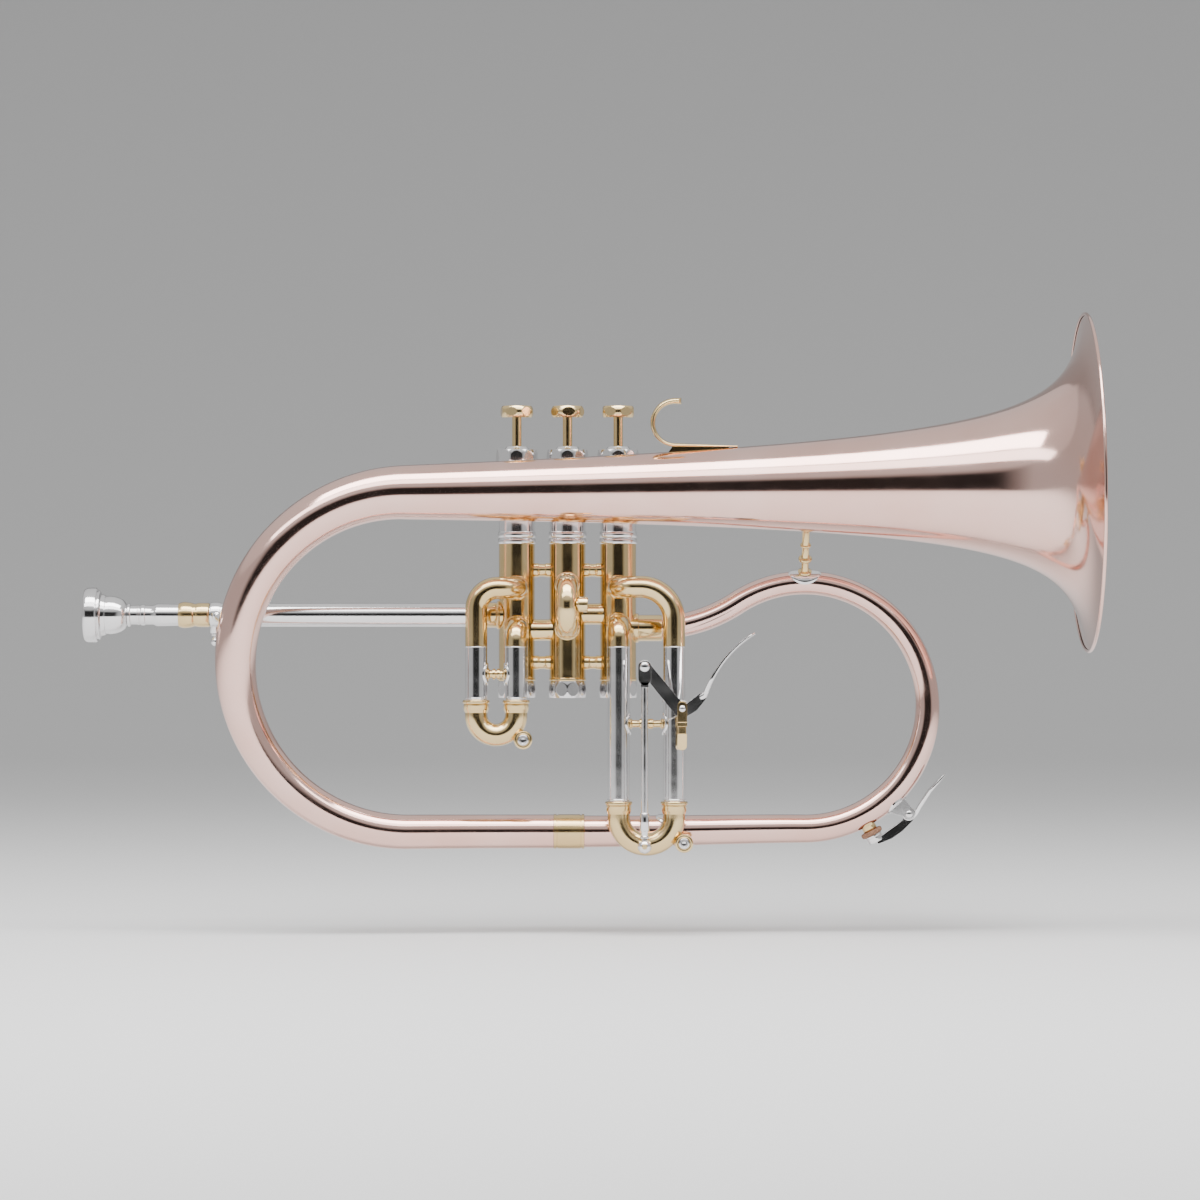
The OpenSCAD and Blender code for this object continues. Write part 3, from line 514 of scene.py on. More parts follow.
def lens_foot(surface, half_u, half_v, thick, rings=10, segments=48):
    """A thin lens-shaped foot that follows a surface(u, v, lift)."""
    verts, faces = [surface(0, 0, thick)], []
    for i in range(1, rings + 1):
        f = i / rings
        lift = thick if f < 0.8 else thick * math.sqrt(max(1 - ((f - 0.8) / 0.2) ** 2, 0)) + 0.02
        for k in range(segments):
            a = 2 * math.pi * k / segments
            pinch = abs(math.sin(a)) ** 1.25
            v = math.copysign(half_v * f * pinch, math.sin(a))
            verts.append(surface(half_u * f * math.cos(a), v, lift))
    for k in range(segments):
        m = (k + 1) % segments
        faces.append([0, 1 + k, 1 + m])
        for i in range(rings - 1):
            b = 1 + i * segments
            faces.append([b + k, b + segments + k, b + segments + m, b + m])
    return verts, faces


def round_surface(origin, along, out, r):
    """Surface function of a straight tube: u runs along it, v round it from the out direction."""
    a, o = along.normalized(), out.normalized()
    s = a.cross(o)

    def at(u, v, lift):
        t = v / r
        return origin + a * u + (r + lift) * (math.cos(t) * o + math.sin(t) * s)

    return at


def steps_of(length, count, power=1.0):
    return [length * (i / count) ** power for i in range(count + 1)]


# ---------------------------------------------------------------- bell, bow and loop


def make_bell():
    throat = (RIM_CENTRE.x - BOW_X) / math.cos(BELL_TILT)
    distances = steps_of(throat - SHEET, 110, 2.2)[::-1]
    outer, inner = [], []
    for s in distances:
        slope = FLARE_SCALE * FLARE_POWER / (s + FLARE_SHIFT) ** (FLARE_POWER + 1)
        n = math.hypot(1, slope)
        r, h = min(flare(s), RIM_R - RIM_WIRE), -s - SHEET
        outer.append((r, h))
        inner.append((r - SHEET / n, h + SHEET * slope / n))
    wire = []
    for k in range(15):
        a = math.radians(-150 + 250 * k / 14)
        wire.append((RIM_R - RIM_WIRE + RIM_WIRE * math.cos(a), min(RIM_WIRE * math.sin(a) - 0.75, 0)))
    profile = outer[:-2] + wire + inner[::-1][2:] + [outer[0]]
    skin("bell", lathe(profile, RIM_CENTRE, BELL_AXIS, 200), COPPER, crease=50)


def make_bow():
    run = steps_of(BOW_LENGTH, 150)
    skin("bow", sweep([bow_point(s) for s in run], [bow_radius(s) for s in run], 64), COPPER)


def make_loop():
    run = steps_of(LOOP_LENGTH, 190)
    piece("loop_skin", sweep([loop_point(s) for s in run], [loop_radius(s) for s in run], 48), COPPER,
          replaces=["loop_tube"])


def make_ferrules():
    r = 8.2
    length = FERRULE_HIGH - FERRULE_LOW
    profile = [(7.3, 0), (r - 0.3, 0), (r, 0.25), (r, 1.3), (r - 0.45, 1.4), (r - 0.45, 1.9), (r - 0.1, 2.0)]
    profile += [(q, length - h) for q, h in profile[::-1]]
    origin = Vector((FERRULE_LOW, BOTTOM_Y, BOTTOM_Z))
    skin("bow_ferrule", lathe(profile, origin, X), BRASS)
    x0 = VALVE_X[2] + math.sqrt(CASING_R ** 2 - 6.2 ** 2) - 0.3
    collar = low("exit_ferrule").x + 2.6 - x0
    profile = [(5.4, 0), (6.85, 0), (6.9, 0.15), (6.9, collar - 0.2), (6.7, collar), (6.2, collar + 0.1)]
    profile += [(6.2, 44.4 - x0 - 0.3), (6.0, 44.4 - x0), (EXIT_R, 44.4 - x0)]
    skin("exit_ferrule", lathe(profile, Vector((x0, 0, EXIT_Z)), X), BRASS)


# ---------------------------------------------------------------- valves


def flatted(flats, flat_d, turn):
    """A radius rule that cuts flats into a turned ring."""
    wedge = 2 * math.pi / flats

    def shape(r, t):
        off = (t - turn + wedge / 2) % wedge - wedge / 2
        return min(r, flat_d / math.cos(off))

    return shape


def barrel_profile(edge, mid, h, steps=22):
    swell = mid - edge
    arc = (h * h / 4 + swell * swell) / (2 * swell)
    heights = [h * k / steps for k in range(steps + 1)]
    return [(mid - arc + math.sqrt(arc * arc - (h / 2 - z) ** 2), z) for z in heights]


def make_valve(i):
    x = VALVE_X[i]
    n = i + 1
    origin = Vector((x, 0, CASING_LOW))
    h = CASING_TOP - CASING_LOW
    profile = [(BORE_R, 0), (CASING_R, 0)] + bead(0.1, 1.5, CASING_R, 0.25)
    profile += [(CASING_R, h), (BORE_R, h), (BORE_R, 0)]
    skin(f"casing_{n}", lathe(profile, origin, Z, 96), BRASS)

    h = BARREL_TOP - CASING_TOP
    profile = [(BORE_R, 0)] + bead(0, 2.5, CASING_R, 0.5) + bead(2.9, 2.9, CASING_R, 0.5)
    profile += [(CASING_R, h), (BORE_R, h), (BORE_R, 0)]
    skin(f"barrel_{n}", lathe(profile, Vector((x, 0, CASING_TOP)), Z, 96), SILVER)

    start = 69.8
    ring = barrel_profile(9.35, 9.85, CAP_TOP - start)
    h, seat, hole = ring[-1][1], CASING_R + 0.02, STEM_R + 0.35
    cap = [(seat, 0)] + ring + [(6.2, h), (5.9, h + 0.25), (4.9, h + 1.5), (4.5, h + 1.6), (hole, h + 1.6)]
    cap += [(hole, 5.7), (seat, 5.65), (seat, 0)]
    flats = flatted(10, 9.5, math.radians(18))
    skin(f"top_cap_{n}", lathe(cap, Vector((x, 0, start)), Z, 240, flats), SILVER, crease=12)

    ring = barrel_profile(8.6, 9.2, CASING_LOW - CAP_LOW)
    cap = [(1.6, 2.3), (1.6, 0.3), (1.9, 0), (8.0, 0)] + ring
    cap += [(BORE_R, ring[-1][1]), (BORE_R, 2.3), (1.6, 2.3)]
    flats = flatted(10, 8.75, 0)
    skin(f"bottom_cap_{n}", lathe(cap, Vector((x, 0, CAP_LOW)), Z, 240, flats), SILVER, crease=12)

    thick = BUTTON_TOP - BUTTON_LOW
    turn = math.radians((10, 35, 0)[i])
    ring = barrel_profile(6.9, 7.9, thick)
    button = [(1.5, 0), (6.3, 0)] + ring + [(6.3, thick), (5.8, thick - 0.08), (3.4, thick - 0.6)]
    button += [(1.5, thick - 0.7), (1.5, 0)]
    skin(f"button_{n}", lathe(button, Vector((x, 0, BUTTON_LOW)), Z, 240, flatted(6, 7.35, turn)), BRASS,
          body=f"valve_{n}", crease=12)


def make_valve_spring(i):
    """The return spring under a piston, swept as a coil of wire at one length."""
    name = f"valve_spring_{i + 1}"
    bottom, top = low(name), high(name)
    wire, turns, stroke, count = 0.5, 5, 12.5, 150
    r, height = (top.x - bottom.x) / 2 - wire, top.z - bottom.z
    coil = []
    for k in range(count + 1):
        t = 2 * math.pi * turns * k / count
        z = bottom.z + wire + (height - 2 * wire) * k / count
        coil.append(Vector((VALVE_X[i] + r * math.cos(t), r * math.sin(t), z)))
    obj = piece(name + "_wire", sweep(coil, [wire] * len(coil), 12), STEEL, replaces=[name])
    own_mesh(obj)


def make_valve_links():
    gap = VALVE_X[1] - VALVE_X[0] - 2 * CASING_R
    links = []
    for z in (21.1, -22.3):
        for x in VALVE_X[:2]:
            start = Vector((x + CASING_R - 0.5, 0, z))
            rim = [(3.3, 0), (3.35, 1.2), (3.35, 2.0), (3.1, 2.4), (3.0, 2.8)]
            profile = rim + [(r, gap + 1 - h) for r, h in rim[::-1]]
            links.append(lathe(profile, start, X, 40))
    skin("valve_braces", joined(*links), BRASS)
    knuckles = []
    for x, z in ((VALVE_X[0], -7), (VALVE_X[1], 0.5)):
        start = Vector((x + CASING_R - 1.8, 0, z))
        length = gap + 3.6
        profile = [(5.3, 0), (5.25, 1.4), (5.05, 2.2), (5.0, 3.0), (5.0, length - 3.0), (5.05, length - 2.2),
                   (5.25, length - 1.4), (5.3, length)]
        knuckles.append(lathe(profile, start, X, 48))
    skin("knuckles", joined(*knuckles), BRASS)


# ---------------------------------------------------------------- leadpipe and mouthpiece


def make_leadpipe():
    left = low("leadpipe_sleeve").x
    right = VALVE_X[0] - 6.6
    skin("leadpipe_sleeve", lathe(pipe(5.5, 4.82, right - left), Vector((left, 0, 0)), X, 64), SILVER)
    profile = [(5.45, 0), (5.8, 0), (5.95, 0.2), (5.95, 4.6), (5.9, 4.7)]
    profile += bead(4.9, 1.6, 5.95, 0.75) + [(5.95, 6.7), (5.95, 8)]
    skin("leadpipe_ferrule", lathe(profile, Vector((-38.2, 0, 0)), X, 64), BRASS)
    ring = [(5.45, 0), (5.75, 0)] + bead(0.05, 4.7, 5.75, 0.3, 14) + [(5.75, 4.8), (5.45, 4.8)]
    foot = bow_point(108) + Vector((-5.5, 8, 0))
    start = Vector((left + 2.6, -4, 0))
    span = (foot - start).length
    strut = [(2.6, 0), (2.5, 2.2), (1.8, 3.4), (1.55, span / 2), (1.7, span - 3.0), (2.4, span - 1.2),
             (3.4, span - 0.2), (3.5, span)]
    boss = [(2.6, 0), (2.6, 3.6), (2.3, 4.0), (1.6, 4.0)]
    screw = middle("lock_screw")
    parts = [lathe(ring, Vector((left, 0, 0)), X, 64),
             lathe(smooth_profile(strut, 5), start, foot - start, 32),
             lathe(boss, Vector((screw.x, 0, -4.6)), -Z, 32)]
    skin("leadpipe_collar", joined(*parts), SILVER)
    head = [(0, 0), (0.9, 0.12), (1.6, 0.6), (2.1, 1.3), (2.2, 2.2), (2.1, 3.0), (1.6, 3.7), (1.1, 4.2),
            (1.05, 4.7), (2.0, 5.0), (2.1, 5.4), (1.5, 5.9), (1.5, 9.7), (0, 9.7)]
    origin = Vector((screw.x, 0, low("lock_screw").z))
    skin("lock_screw", lathe(head, origin, Z, 40), SILVER, body="lock_screw", edge=0.1)


def make_receiver():
    end = low("receiver").x
    profile = [(5.1, 14.7), (5.1, 0), (5.35, 0)] + smooth_profile(
        [(5.6, 0.15), (6.1, 2.0), (6.14, 3.4), (5.75, 6.2), (5.3, 7.6), (5.6, 9.0), (5.7, 10.4)], 5)
    profile += [(5.7, 13.9), (5.4, 14.5), (5.2, 14.7), (5.1, 14.7)]
    skin("receiver", lathe(profile, Vector((end, 0, 0)), X, 72), BRASS, body="leadpipe")


def make_mouthpiece():
    """Rim, cup, neck rings and shank, turned in one piece."""
    end = low("mouthpiece").x
    rim = [(9.2, 1.0), (9.6, 0.35), (10.4, 0.05), (11.5, 0.1), (12.3, 0.6), (12.75, 1.6), (12.85, 3.0)]
    rim_back = [(12.85, 5.8), (12.5, 6.3), (11.3, 6.5), (11.2, 6.8), (11.55, 7.1), (11.5, 7.6), (10.1, 8.1)]
    collar = [(9.75, 8.3), (9.7, 8.9), (9.3, 10.1), (8.85, 10.3)]
    cup = [(8.85, 10.7), (8.95, 12.5), (8.5, 15.3), (7.35, 18.0), (5.9, 19.5), (4.4, 20.2)]
    neck = [(5.2, 20.3), (5.45, 20.6), (5.45, 21.4), (5.2, 21.7), (4.45, 21.9), (4.45, 24.8)]
    neck += bead(25.0, 1.0, 4.45, 0.3) + bead(26.4, 2.4, 4.45, 0.5)
    shank = [(4.5, 29.2), (4.5, 32.6), (5.0, 33.4), (5.28, 34.4), (5.05, 44.3), (4.1, 64.8), (3.2, 65)]
    inside = [(3.0, 60), (1.9, 24), (1.85, 18.6), (2.1, 17.4), (3.6, 14.4), (5.6, 11.0), (7.2, 7.2),
              (8.2, 3.8), (8.75, 2.0), (9.2, 1.0)]
    profile = smooth_profile(rim, 5) + rim_back + collar + smooth_profile(cup, 5) + neck + shank
    profile += smooth_profile(inside, 4)
    skin("mouthpiece", lathe(profile, Vector((end, 0, 0)), X, 128), SILVER, body="mouthpiece", crease=45)


# ---------------------------------------------------------------- slides


def outer_tubes(name, xs, end):
    parts = []
    for x in xs:
        h = ELBOW_END - end
        profile = [(SLIDE_BORE, 0), (TUBE_R + 0.1, 0)] + bead(0.05, 1.0, TUBE_R, 0.28) + [(TUBE_R, h - 0.5)]
        profile += bead(h - 0.5, 0.5, TUBE_R, 0.12) + [(SLIDE_BORE, h), (SLIDE_BORE, 0)]
        parts.append(lathe(profile, Vector((x, SLIDE_Y, end)), Z, 64))
    skin(name, joined(*parts), SILVER)


def tube_brace(name, xs, z, r):
    """A turned bar between two upright tubes, on lens-shaped feet."""
    left, right = xs[0] + TUBE_R, xs[1] - TUBE_R
    span = right - left
    profile = [(r * 1.2, 0), (r * 1.1, 0.6), (r * 0.72, 1.2), (r * 0.68, span * 0.28)]
    profile += [(r * 0.95, span * 0.30), (r, span * 0.36), (r * 0.98, span * 0.44), (r * 0.7, span * 0.47)]
    profile += [(q, span - h) for q, h in profile[::-1]]
    skin(name, lathe(profile, Vector((left, SLIDE_Y, z)), X, 40), BRASS)
    feet = [lens_foot(round_surface(Vector((x, SLIDE_Y, z)), Z, out, TUBE_R), 5.5, 5.0, 0.55)
            for x, out in ((xs[0], X), (xs[1], -X))]
    piece(name + "_feet", joined(*feet), SILVER)


def port_seat(x, z, r):
    """The wider ring of solder and metal where a tube enters the front of a casing."""
    profile = [(r + 0.75, 0), (r + 0.7, 0.9), (r + 0.35, 1.35), (r - 0.1, 1.6)]
    return lathe(profile, Vector((x, PORT_Y + 0.1, z)), -Y, 48)


def make_first_slide():
    x = VALVE_X[0]
    high_port, low_port = 12.7, -6.0
    upper = [Vector((x, PORT_Y, high_port)), Vector((x, SLIDE_Y, high_port)),
             Vector((FIRST_X[0], SLIDE_Y, high_port)), Vector((FIRST_X[0], SLIDE_Y, ELBOW_END))]
    lower = [Vector((x, PORT_Y, low_port)), Vector((x, SLIDE_Y, low_port)), Vector((x, SLIDE_Y, ELBOW_END))]
    upper, lower = route(upper, [8.6, 10]), route(lower, [7])
    parts = [sweep(p, [TUBE_R] * len(p), 48) for p in (upper, lower)]
    parts += [port_seat(x, z, TUBE_R) for z in (high_port, low_port)]
    skin("first_elbows", joined(*parts), BRASS)
    outer_tubes("first_outer_tubes", FIRST_X, FIRST_END)
    tube_brace("first_brace", FIRST_X, FIRST_BRACE_Z, 2.6)


def crook(name, body, xs, end, crook_z, key, extras=()):
    """Inner tubes, collars and U-bend of an upright slide, with its push-button key barrel."""
    half = (xs[1] - xs[0]) / 2
    low_z = crook_z - half
    bend = route([Vector((xs[0], SLIDE_Y, end - 2)), Vector((xs[0], SLIDE_Y, low_z)),
                  Vector((xs[1], SLIDE_Y, low_z)), Vector((xs[1], SLIDE_Y, end - 2))], [half, half])
    parts = [sweep(bend, [TUBE_R + 0.05] * len(bend), 56)]
    for x in xs:
        collar = [(INNER_R, 0), (6.0, 0)] + bead(0.05, 1.6, 6.0, 0.4)
        collar += [(5.75, 1.75), (5.75, 2.0), (5.9, 2.15), (5.9, 4.4), (5.75, 4.6), (TUBE_R + 0.25, 5.5),
                   (TUBE_R, 6.0)]
        parts.append(lathe(collar, Vector((x, SLIDE_Y, end - 0.15)), -Z, 64))
    barrel = [(2.6, 0.9), (3.0, 0.7), (3.1, 0.1), (3.6, 0), (4.1, 0.25), (4.3, 0.8), (4.3, 1.6), (4.0, 1.9)]
    barrel += [(4.0, 8.4), (4.2, 8.7), (4.2, 9.6), (3.9, 10), (0, 10), (0, 8.5), (2.6, 8.5), (2.6, 0.9)]
    parts.append(lathe(barrel, key - Y * 5, Y, 48))
    skin(name, joined(*parts, *extras), BRASS, body=body)
    profile = pipe(INNER_R, 4.0, ELBOW_END - end, 0.2)
    inner = [lathe(profile, Vector((x, SLIDE_Y, end - 2)), Z, 56) for x in xs]
    piece(name.replace("crook", "inner_tubes"), joined(*inner), SILVER, body=body)


def key_button(name, body, key):
    """A push button with a dished face in a silver ring."""
    profile = [(0, 1.9), (1.0, 1.8), (1.45, 1.3), (1.6, 0.4), (1.75, 0), (2.2, 0), (2.4, 0.15), (2.45, 0.4)]
    profile += [(2.45, 6.2), (1.2, 6.2), (1.2, 6.7), (0, 6.7)]
    skin(name, lathe(profile, key + Vector((0, -5.7, 0)), Y, 40), SILVER, body=body)


def make_crooks():
    first_key = Vector((-20.5, SLIDE_Y, -58.1))
    third_key = Vector((54.4, SLIDE_Y, -106.2))
    crook("first_crook", "first_slide", FIRST_X, FIRST_END, FIRST_CROOK_Z, first_key)
    stud = [(2.3, 0), (2.2, 0.6), (1.5, 1.1), (1.3, 1.5), (1.3, 8.3), (1.0, 8.7), (0, 8.7)]
    ball_stud = lathe(stud, Vector((CLEVIS.x, SLIDE_Y - TUBE_R + 0.3, BALL_Z)), -Y, 32)
    crook("third_crook", "third_slide", THIRD_X, THIRD_END, THIRD_CROOK_Z, third_key, [ball_stud])
    key_button("first_key_button", "first_key", first_key)
    key_button("third_key_button", "third_key", third_key)


def make_second_slide():
    tubes = []
    for z in SECOND_Z:
        h = PORT_Y - SECOND_END_Y
        profile = [(TUBE_R, 0), (TUBE_R, h - 1.1)] + bead(h - 1.1, 1.1, TUBE_R, 0.3)
        profile += [(SLIDE_BORE, h), (SLIDE_BORE, 1)]
        tubes.append(lathe(profile, Vector((0, PORT_Y, z)), -Y, 56))
        tubes.append(port_seat(0, z, TUBE_R))
    skin("second_outer_tubes", joined(*tubes), BRASS)
    half = (SECOND_Z[1] - SECOND_Z[0]) / 2
    tip = SECOND_CROOK_Y - half
    ends = [Vector((0, SECOND_END_Y - 0.4, z)) for z in SECOND_Z]
    tips = [Vector((0, tip, z)) for z in SECOND_Z]
    bend = route([ends[0], *tips, ends[1]], [half, half], 0.6)
    parts = [sweep(bend, [SECOND_R] * len(bend), 56)]
    for z in SECOND_Z:
        origin = Vector((0, SECOND_END_Y - 0.2, z))
        collar = [(INNER_R, 0), (5.6, 0), (5.8, 0.2), (5.8, 1.1), (5.45, 1.4), (5.4, 2.4), (5.1, 2.9),
                  (SECOND_R, 3.1)]
        parts.append(lathe(collar, origin, -Y, 56))
        parts.append(lathe([(INNER_R, 0), (INNER_R, 11.2), (4.0, 11.2)], origin, Y, 48))
    skin("second_crook", joined(*parts), BRASS, body="second_slide")
    knob = [(2.0, 0), (2.0, 1.8), (3.2, 1.95), (3.6, 2.4), (3.65, 3.0), (3.65, 5.9), (3.5, 6.4), (3.0, 6.65),
            (0, 6.7)]
    origin = Vector((3.0, middle("second_knob").y, middle("second_knob").z))
    skin("second_knob", lathe(knob, origin, X, 40), BRASS, body="second_slide")


def make_third_slide():
    x = VALVE_X[2]
    high_port, low_port = 13.2, -4.7
    port_r, taper_steps = 4.9, 25
    upper = [Vector((x, PORT_Y, high_port)), Vector((x, SLIDE_Y, high_port)),
             Vector((THIRD_X[1], SLIDE_Y, high_port)), Vector((THIRD_X[1], SLIDE_Y, ELBOW_END))]
    lower = [Vector((x, PORT_Y, low_port)), Vector((THIRD_X[0], SLIDE_Y, low_port)),
             Vector((THIRD_X[0], SLIDE_Y, ELBOW_END))]
    upper, lower = route(upper, [8.6, 15.6]), route(lower, [7])
    radii = [port_r + (TUBE_R - port_r) * ease(i / taper_steps) for i in range(len(upper))]
    parts = [sweep(upper, radii, 48), sweep(lower, [TUBE_R] * len(lower), 48)]
    parts += [port_seat(x, high_port, port_r), port_seat(x, low_port, TUBE_R)]
    skin("third_elbows", joined(*parts), BRASS)
    outer_tubes("third_outer_tubes", THIRD_X, THIRD_END)
    tube_brace("third_brace", THIRD_X, THIRD_BRACE_Z, 2.4)


# ---------------------------------------------------------------- trigger


def spring_wire(name, path, body, r=0.3):
    piece(name, sweep(path, [r] * len(path), 10), STEEL, body=body)


def make_trigger():
    y0, y1 = PIVOT.y - 1.2, PIVOT.y + 1.2
    clevis = (CLEVIS.x, CLEVIS.z)
    corners = [(36.2, -20.0), (54.4, -41.7), (62.0, -35.9), (64.7, -38.5), (60.0, -44.3), (55.0, -47.2),
               (50.4, -46.4), (32.1, -23.7)]
    arm = extruded(rounded(corners, [2.6, 1.2, 0.4, 0.4, 4, 3, 2, 2.6]), y0, y1)
    start = Vector((64.0, PIVOT.y, -37.0))
    heading, turn, blade_r, steps = math.radians(70.7), math.radians(40), 52.3, 32
    centre = Vector((64.6, PIVOT.y, -36.3)) + blade_r * Vector((math.sin(heading), 0, -math.cos(heading)))
    blade, wide, thick = [start], [1.6], [0.95]
    for k in range(steps + 1):
        t = k / steps
        tip = math.sqrt(max(1 - max(t - 0.86, 0) ** 2 / 0.14 ** 2 * 0.85, 0))
        blade.append(centre + blade_r * spoke(heading + math.pi / 2 - turn * t))
        wide.append(4.0 * tip * (0.5 + 0.5 * ease(t * 5)))
        thick.append(0.9 - 0.5 * t)
    twist = [Vector((61.5, PIVOT.y, -38.4)), Vector((63.4, PIVOT.y, -37.4)), blade[2]]
    parts = [arm, ribbon(twist, [1.2, 1.6, 2.1], [1.8, 1.5, 0.9]), ribbon(blade, wide, thick, 44, 9, 0.5)]
    skin("trigger_lever", joined(*parts), SILVER, body="trigger", edge=0.3)

    gap = 1.55
    outline = capsule(clevis, 3.0, (CLEVIS.x, CLEVIS.z - 5.7), 3.0)
    parts = [extruded(outline, y, y + 1) for y in (PIVOT.y - gap - 1, PIVOT.y + gap)]
    parts.append(block(CLEVIS.x, 1.8, CLEVIS.z - 9.6, CLEVIS.z - 7.1, PIVOT.y - gap - 1, PIVOT.y + gap + 1))
    pin = [(0, 0), (1.3, 0.1), (2.0, 0.5), (2.3, 1.0), (2.3, 1.2), (1.2, 1.2), (1.2, 6.4), (1.7, 6.4),
           (1.7, 6.9), (0, 7.0)]
    parts.append(lathe(pin, Vector((CLEVIS.x, PIVOT.y - gap - 2.15, CLEVIS.z)), Y, 32))
    top = CLEVIS.z - 9.4
    shaft = [(1.6, top - BALL_Z), (1.6, 15.6), (1.85, 15.4), (2.1, 15.0), (2.1, 7.4), (1.9, 7.1), (1.7, 6.9),
             (1.6, 4.9), (2.1, 4.6), (2.2, 4.1), (1.9, 3.7), (1.5, 3.3)]
    ball_r = 3.3
    arc = [math.radians(a) for a in range(0, 181, 9)]
    ball = [(ball_r * math.sin(a), -ball_r * math.cos(a)) for a in arc]
    ball[0], ball[-1] = (0, -ball_r), (0, ball_r)
    socket = Vector((CLEVIS.x, PIVOT.y, BALL_Z))
    parts += [lathe(shaft, socket, Z, 40), lathe(ball, socket, -Y, 40)]
    skin("trigger_rod", joined(*parts), SILVER, body="rod", edge=0.12)

    half, front, back = 2.2, PIVOT.y - 2.6, PIVOT.y + 2.6
    foot_top, foot_lean = -55, 0.22
    foot = rounded(rectangle(PIVOT.x, half, foot_top, -62.7), [0.3, 0.3, 2.1, 2.1])
    prong = rounded(rectangle(PIVOT.x, half, -49.6, -39.9), [0.2, 0.2, 2.1, 2.1])
    parts = [leaning(foot, SLIDE_Y - 9.4, SLIDE_Y - 2, foot_lean, foot_top),
             block(PIVOT.x, 1.7, foot_top, -51.6, front + 0.3, back - 0.3),
             block(PIVOT.x, half + 0.1, -51.6, -49.6, front, back),
             block(PIVOT.x, 1.9, foot_top, -51.6, back - 1, SLIDE_Y - 3)]
    parts += [extruded(prong, front, front + 1.1), extruded(prong, back - 1.1, back)]
    skin("trigger_post", joined(*parts), BRASS, edge=0.25)
    head = [(0, 0), (0.9, 0.1), (1.4, 0.45), (1.5, 0.9), (1.0, 0.9), (1.0, 6.4), (0, 6.4)]
    piece("trigger_pivot_screw", lathe(head, Vector((PIVOT.x, front - 0.9, PIVOT.z)), Y, 32), SILVER)

    coil_r, coil_y, turns = 3.5, PIVOT.y + 3.0, 2.4
    coil = [Vector((PIVOT.x + coil_r * math.cos(t), coil_y + 0.1 * t, PIVOT.z + coil_r * math.sin(t)))
            for t in [math.radians(130) + 2 * math.pi * turns * k / 60 for k in range(61)]]
    upper_leg = [Vector((44.0, PIVOT.y - 0.8, -40.0)), Vector((44.2, PIVOT.y + 1.6, -39.9)),
                 Vector((46.0, coil_y, -39.8)), Vector((49.5, coil_y, -40.2))]
    brace_r = 2.9
    curl = [Vector((46.4, SLIDE_Y - brace_r * math.cos(a), THIRD_BRACE_Z + brace_r * math.sin(a)))
            for a in [math.radians(20 + 16 * k) for k in range(11)]]
    lower_leg = [Vector((50.6, coil_y + 1.5, -47.0)), Vector((47.4, SLIDE_Y - 6.0, -48.4))]
    spring_wire("trigger_spring_leg", upper_leg + coil[:3], "trigger")
    spring_wire("trigger_spring", coil + lower_leg + curl, "horn")


def make_tube_foot():
    x = 48.6
    bottom = loop_point(x - FERRULE_HIGH)
    surface = round_surface(bottom, X, Vector((0, -0.45, 1)), loop_radius(x - FERRULE_HIGH))
    start = bottom + Vector((0, 0.8, 6.5))
    end = Vector((THIRD_X[1], SLIDE_Y + TUBE_R + 1.6, -77))
    strut = [(2.6, 0), (2.3, 1.2), (1.7, 2.2), (1.55, 9), (1.6, (end - start).length)]
    stub = [(0, 0), (1.5, 0.1), (2.0, 0.5), (2.0, 2.4), (2.5, 2.75), (0, 2.75)]
    parts = [lens_foot(surface, 7.2, 6.4, 0.7), lathe(smooth_profile(strut, 4), start, end - start, 32),
             lathe(stub, end + Y * 0.9, -Y, 32)]
    skin("tube_foot", joined(*parts), SILVER)


# ---------------------------------------------------------------- bell brace, hook and water key


def make_bell_brace():
    base = LOOP_CENTRE + Z * LOOP_R
    from_rim = RIM_CENTRE.x - LOOP_CENTRE.x
    head = Vector((LOOP_CENTRE.x, BELL_Y, RIM_CENTRE.z - from_rim * math.tan(BELL_TILT)))
    axis = (head - base).normalized()
    bell_r = flare(from_rim)
    foot, top = base + axis * EXIT_R, head - axis * bell_r
    span = (top - foot).length
    bar = [(3.3, 0.3), (3.2, 1.0), (2.0, 1.7), (1.75, 2.6), (1.7, 6.0)]
    bar += bead(6.4, 2.3, 2.2, 1.05) + [(1.8, 9.4), (1.7, 13.6)] + bead(14.2, 1.5, 1.9, 0.65)
    bar += [(1.7, 16.2), (1.75, span - 3.4)]
    bar += [(2.2, span - 2.2), (3.2, span - 1.0), (4.2, span - 0.4), (4.6, span)]
    flange = lens_foot(round_surface(head, BELL_AXIS, -axis, bell_r), 7.0, 5.0, 0.6)
    skin("bell_brace", joined(lathe(bar, foot, axis, 40), flange), BRASS)

    def on_loop(u, v, lift):
        t = u / LOOP_R
        out = Vector((math.sin(t), 0, math.cos(t)))
        tilt = axis.angle(Z) + v / EXIT_R
        return LOOP_CENTRE + LOOP_R * out + (EXIT_R + lift) * (math.cos(tilt) * out - math.sin(tilt) * Y)

    skin("brace_saddle", lens_foot(on_loop, 7.2, 6.6, 0.65), SILVER)


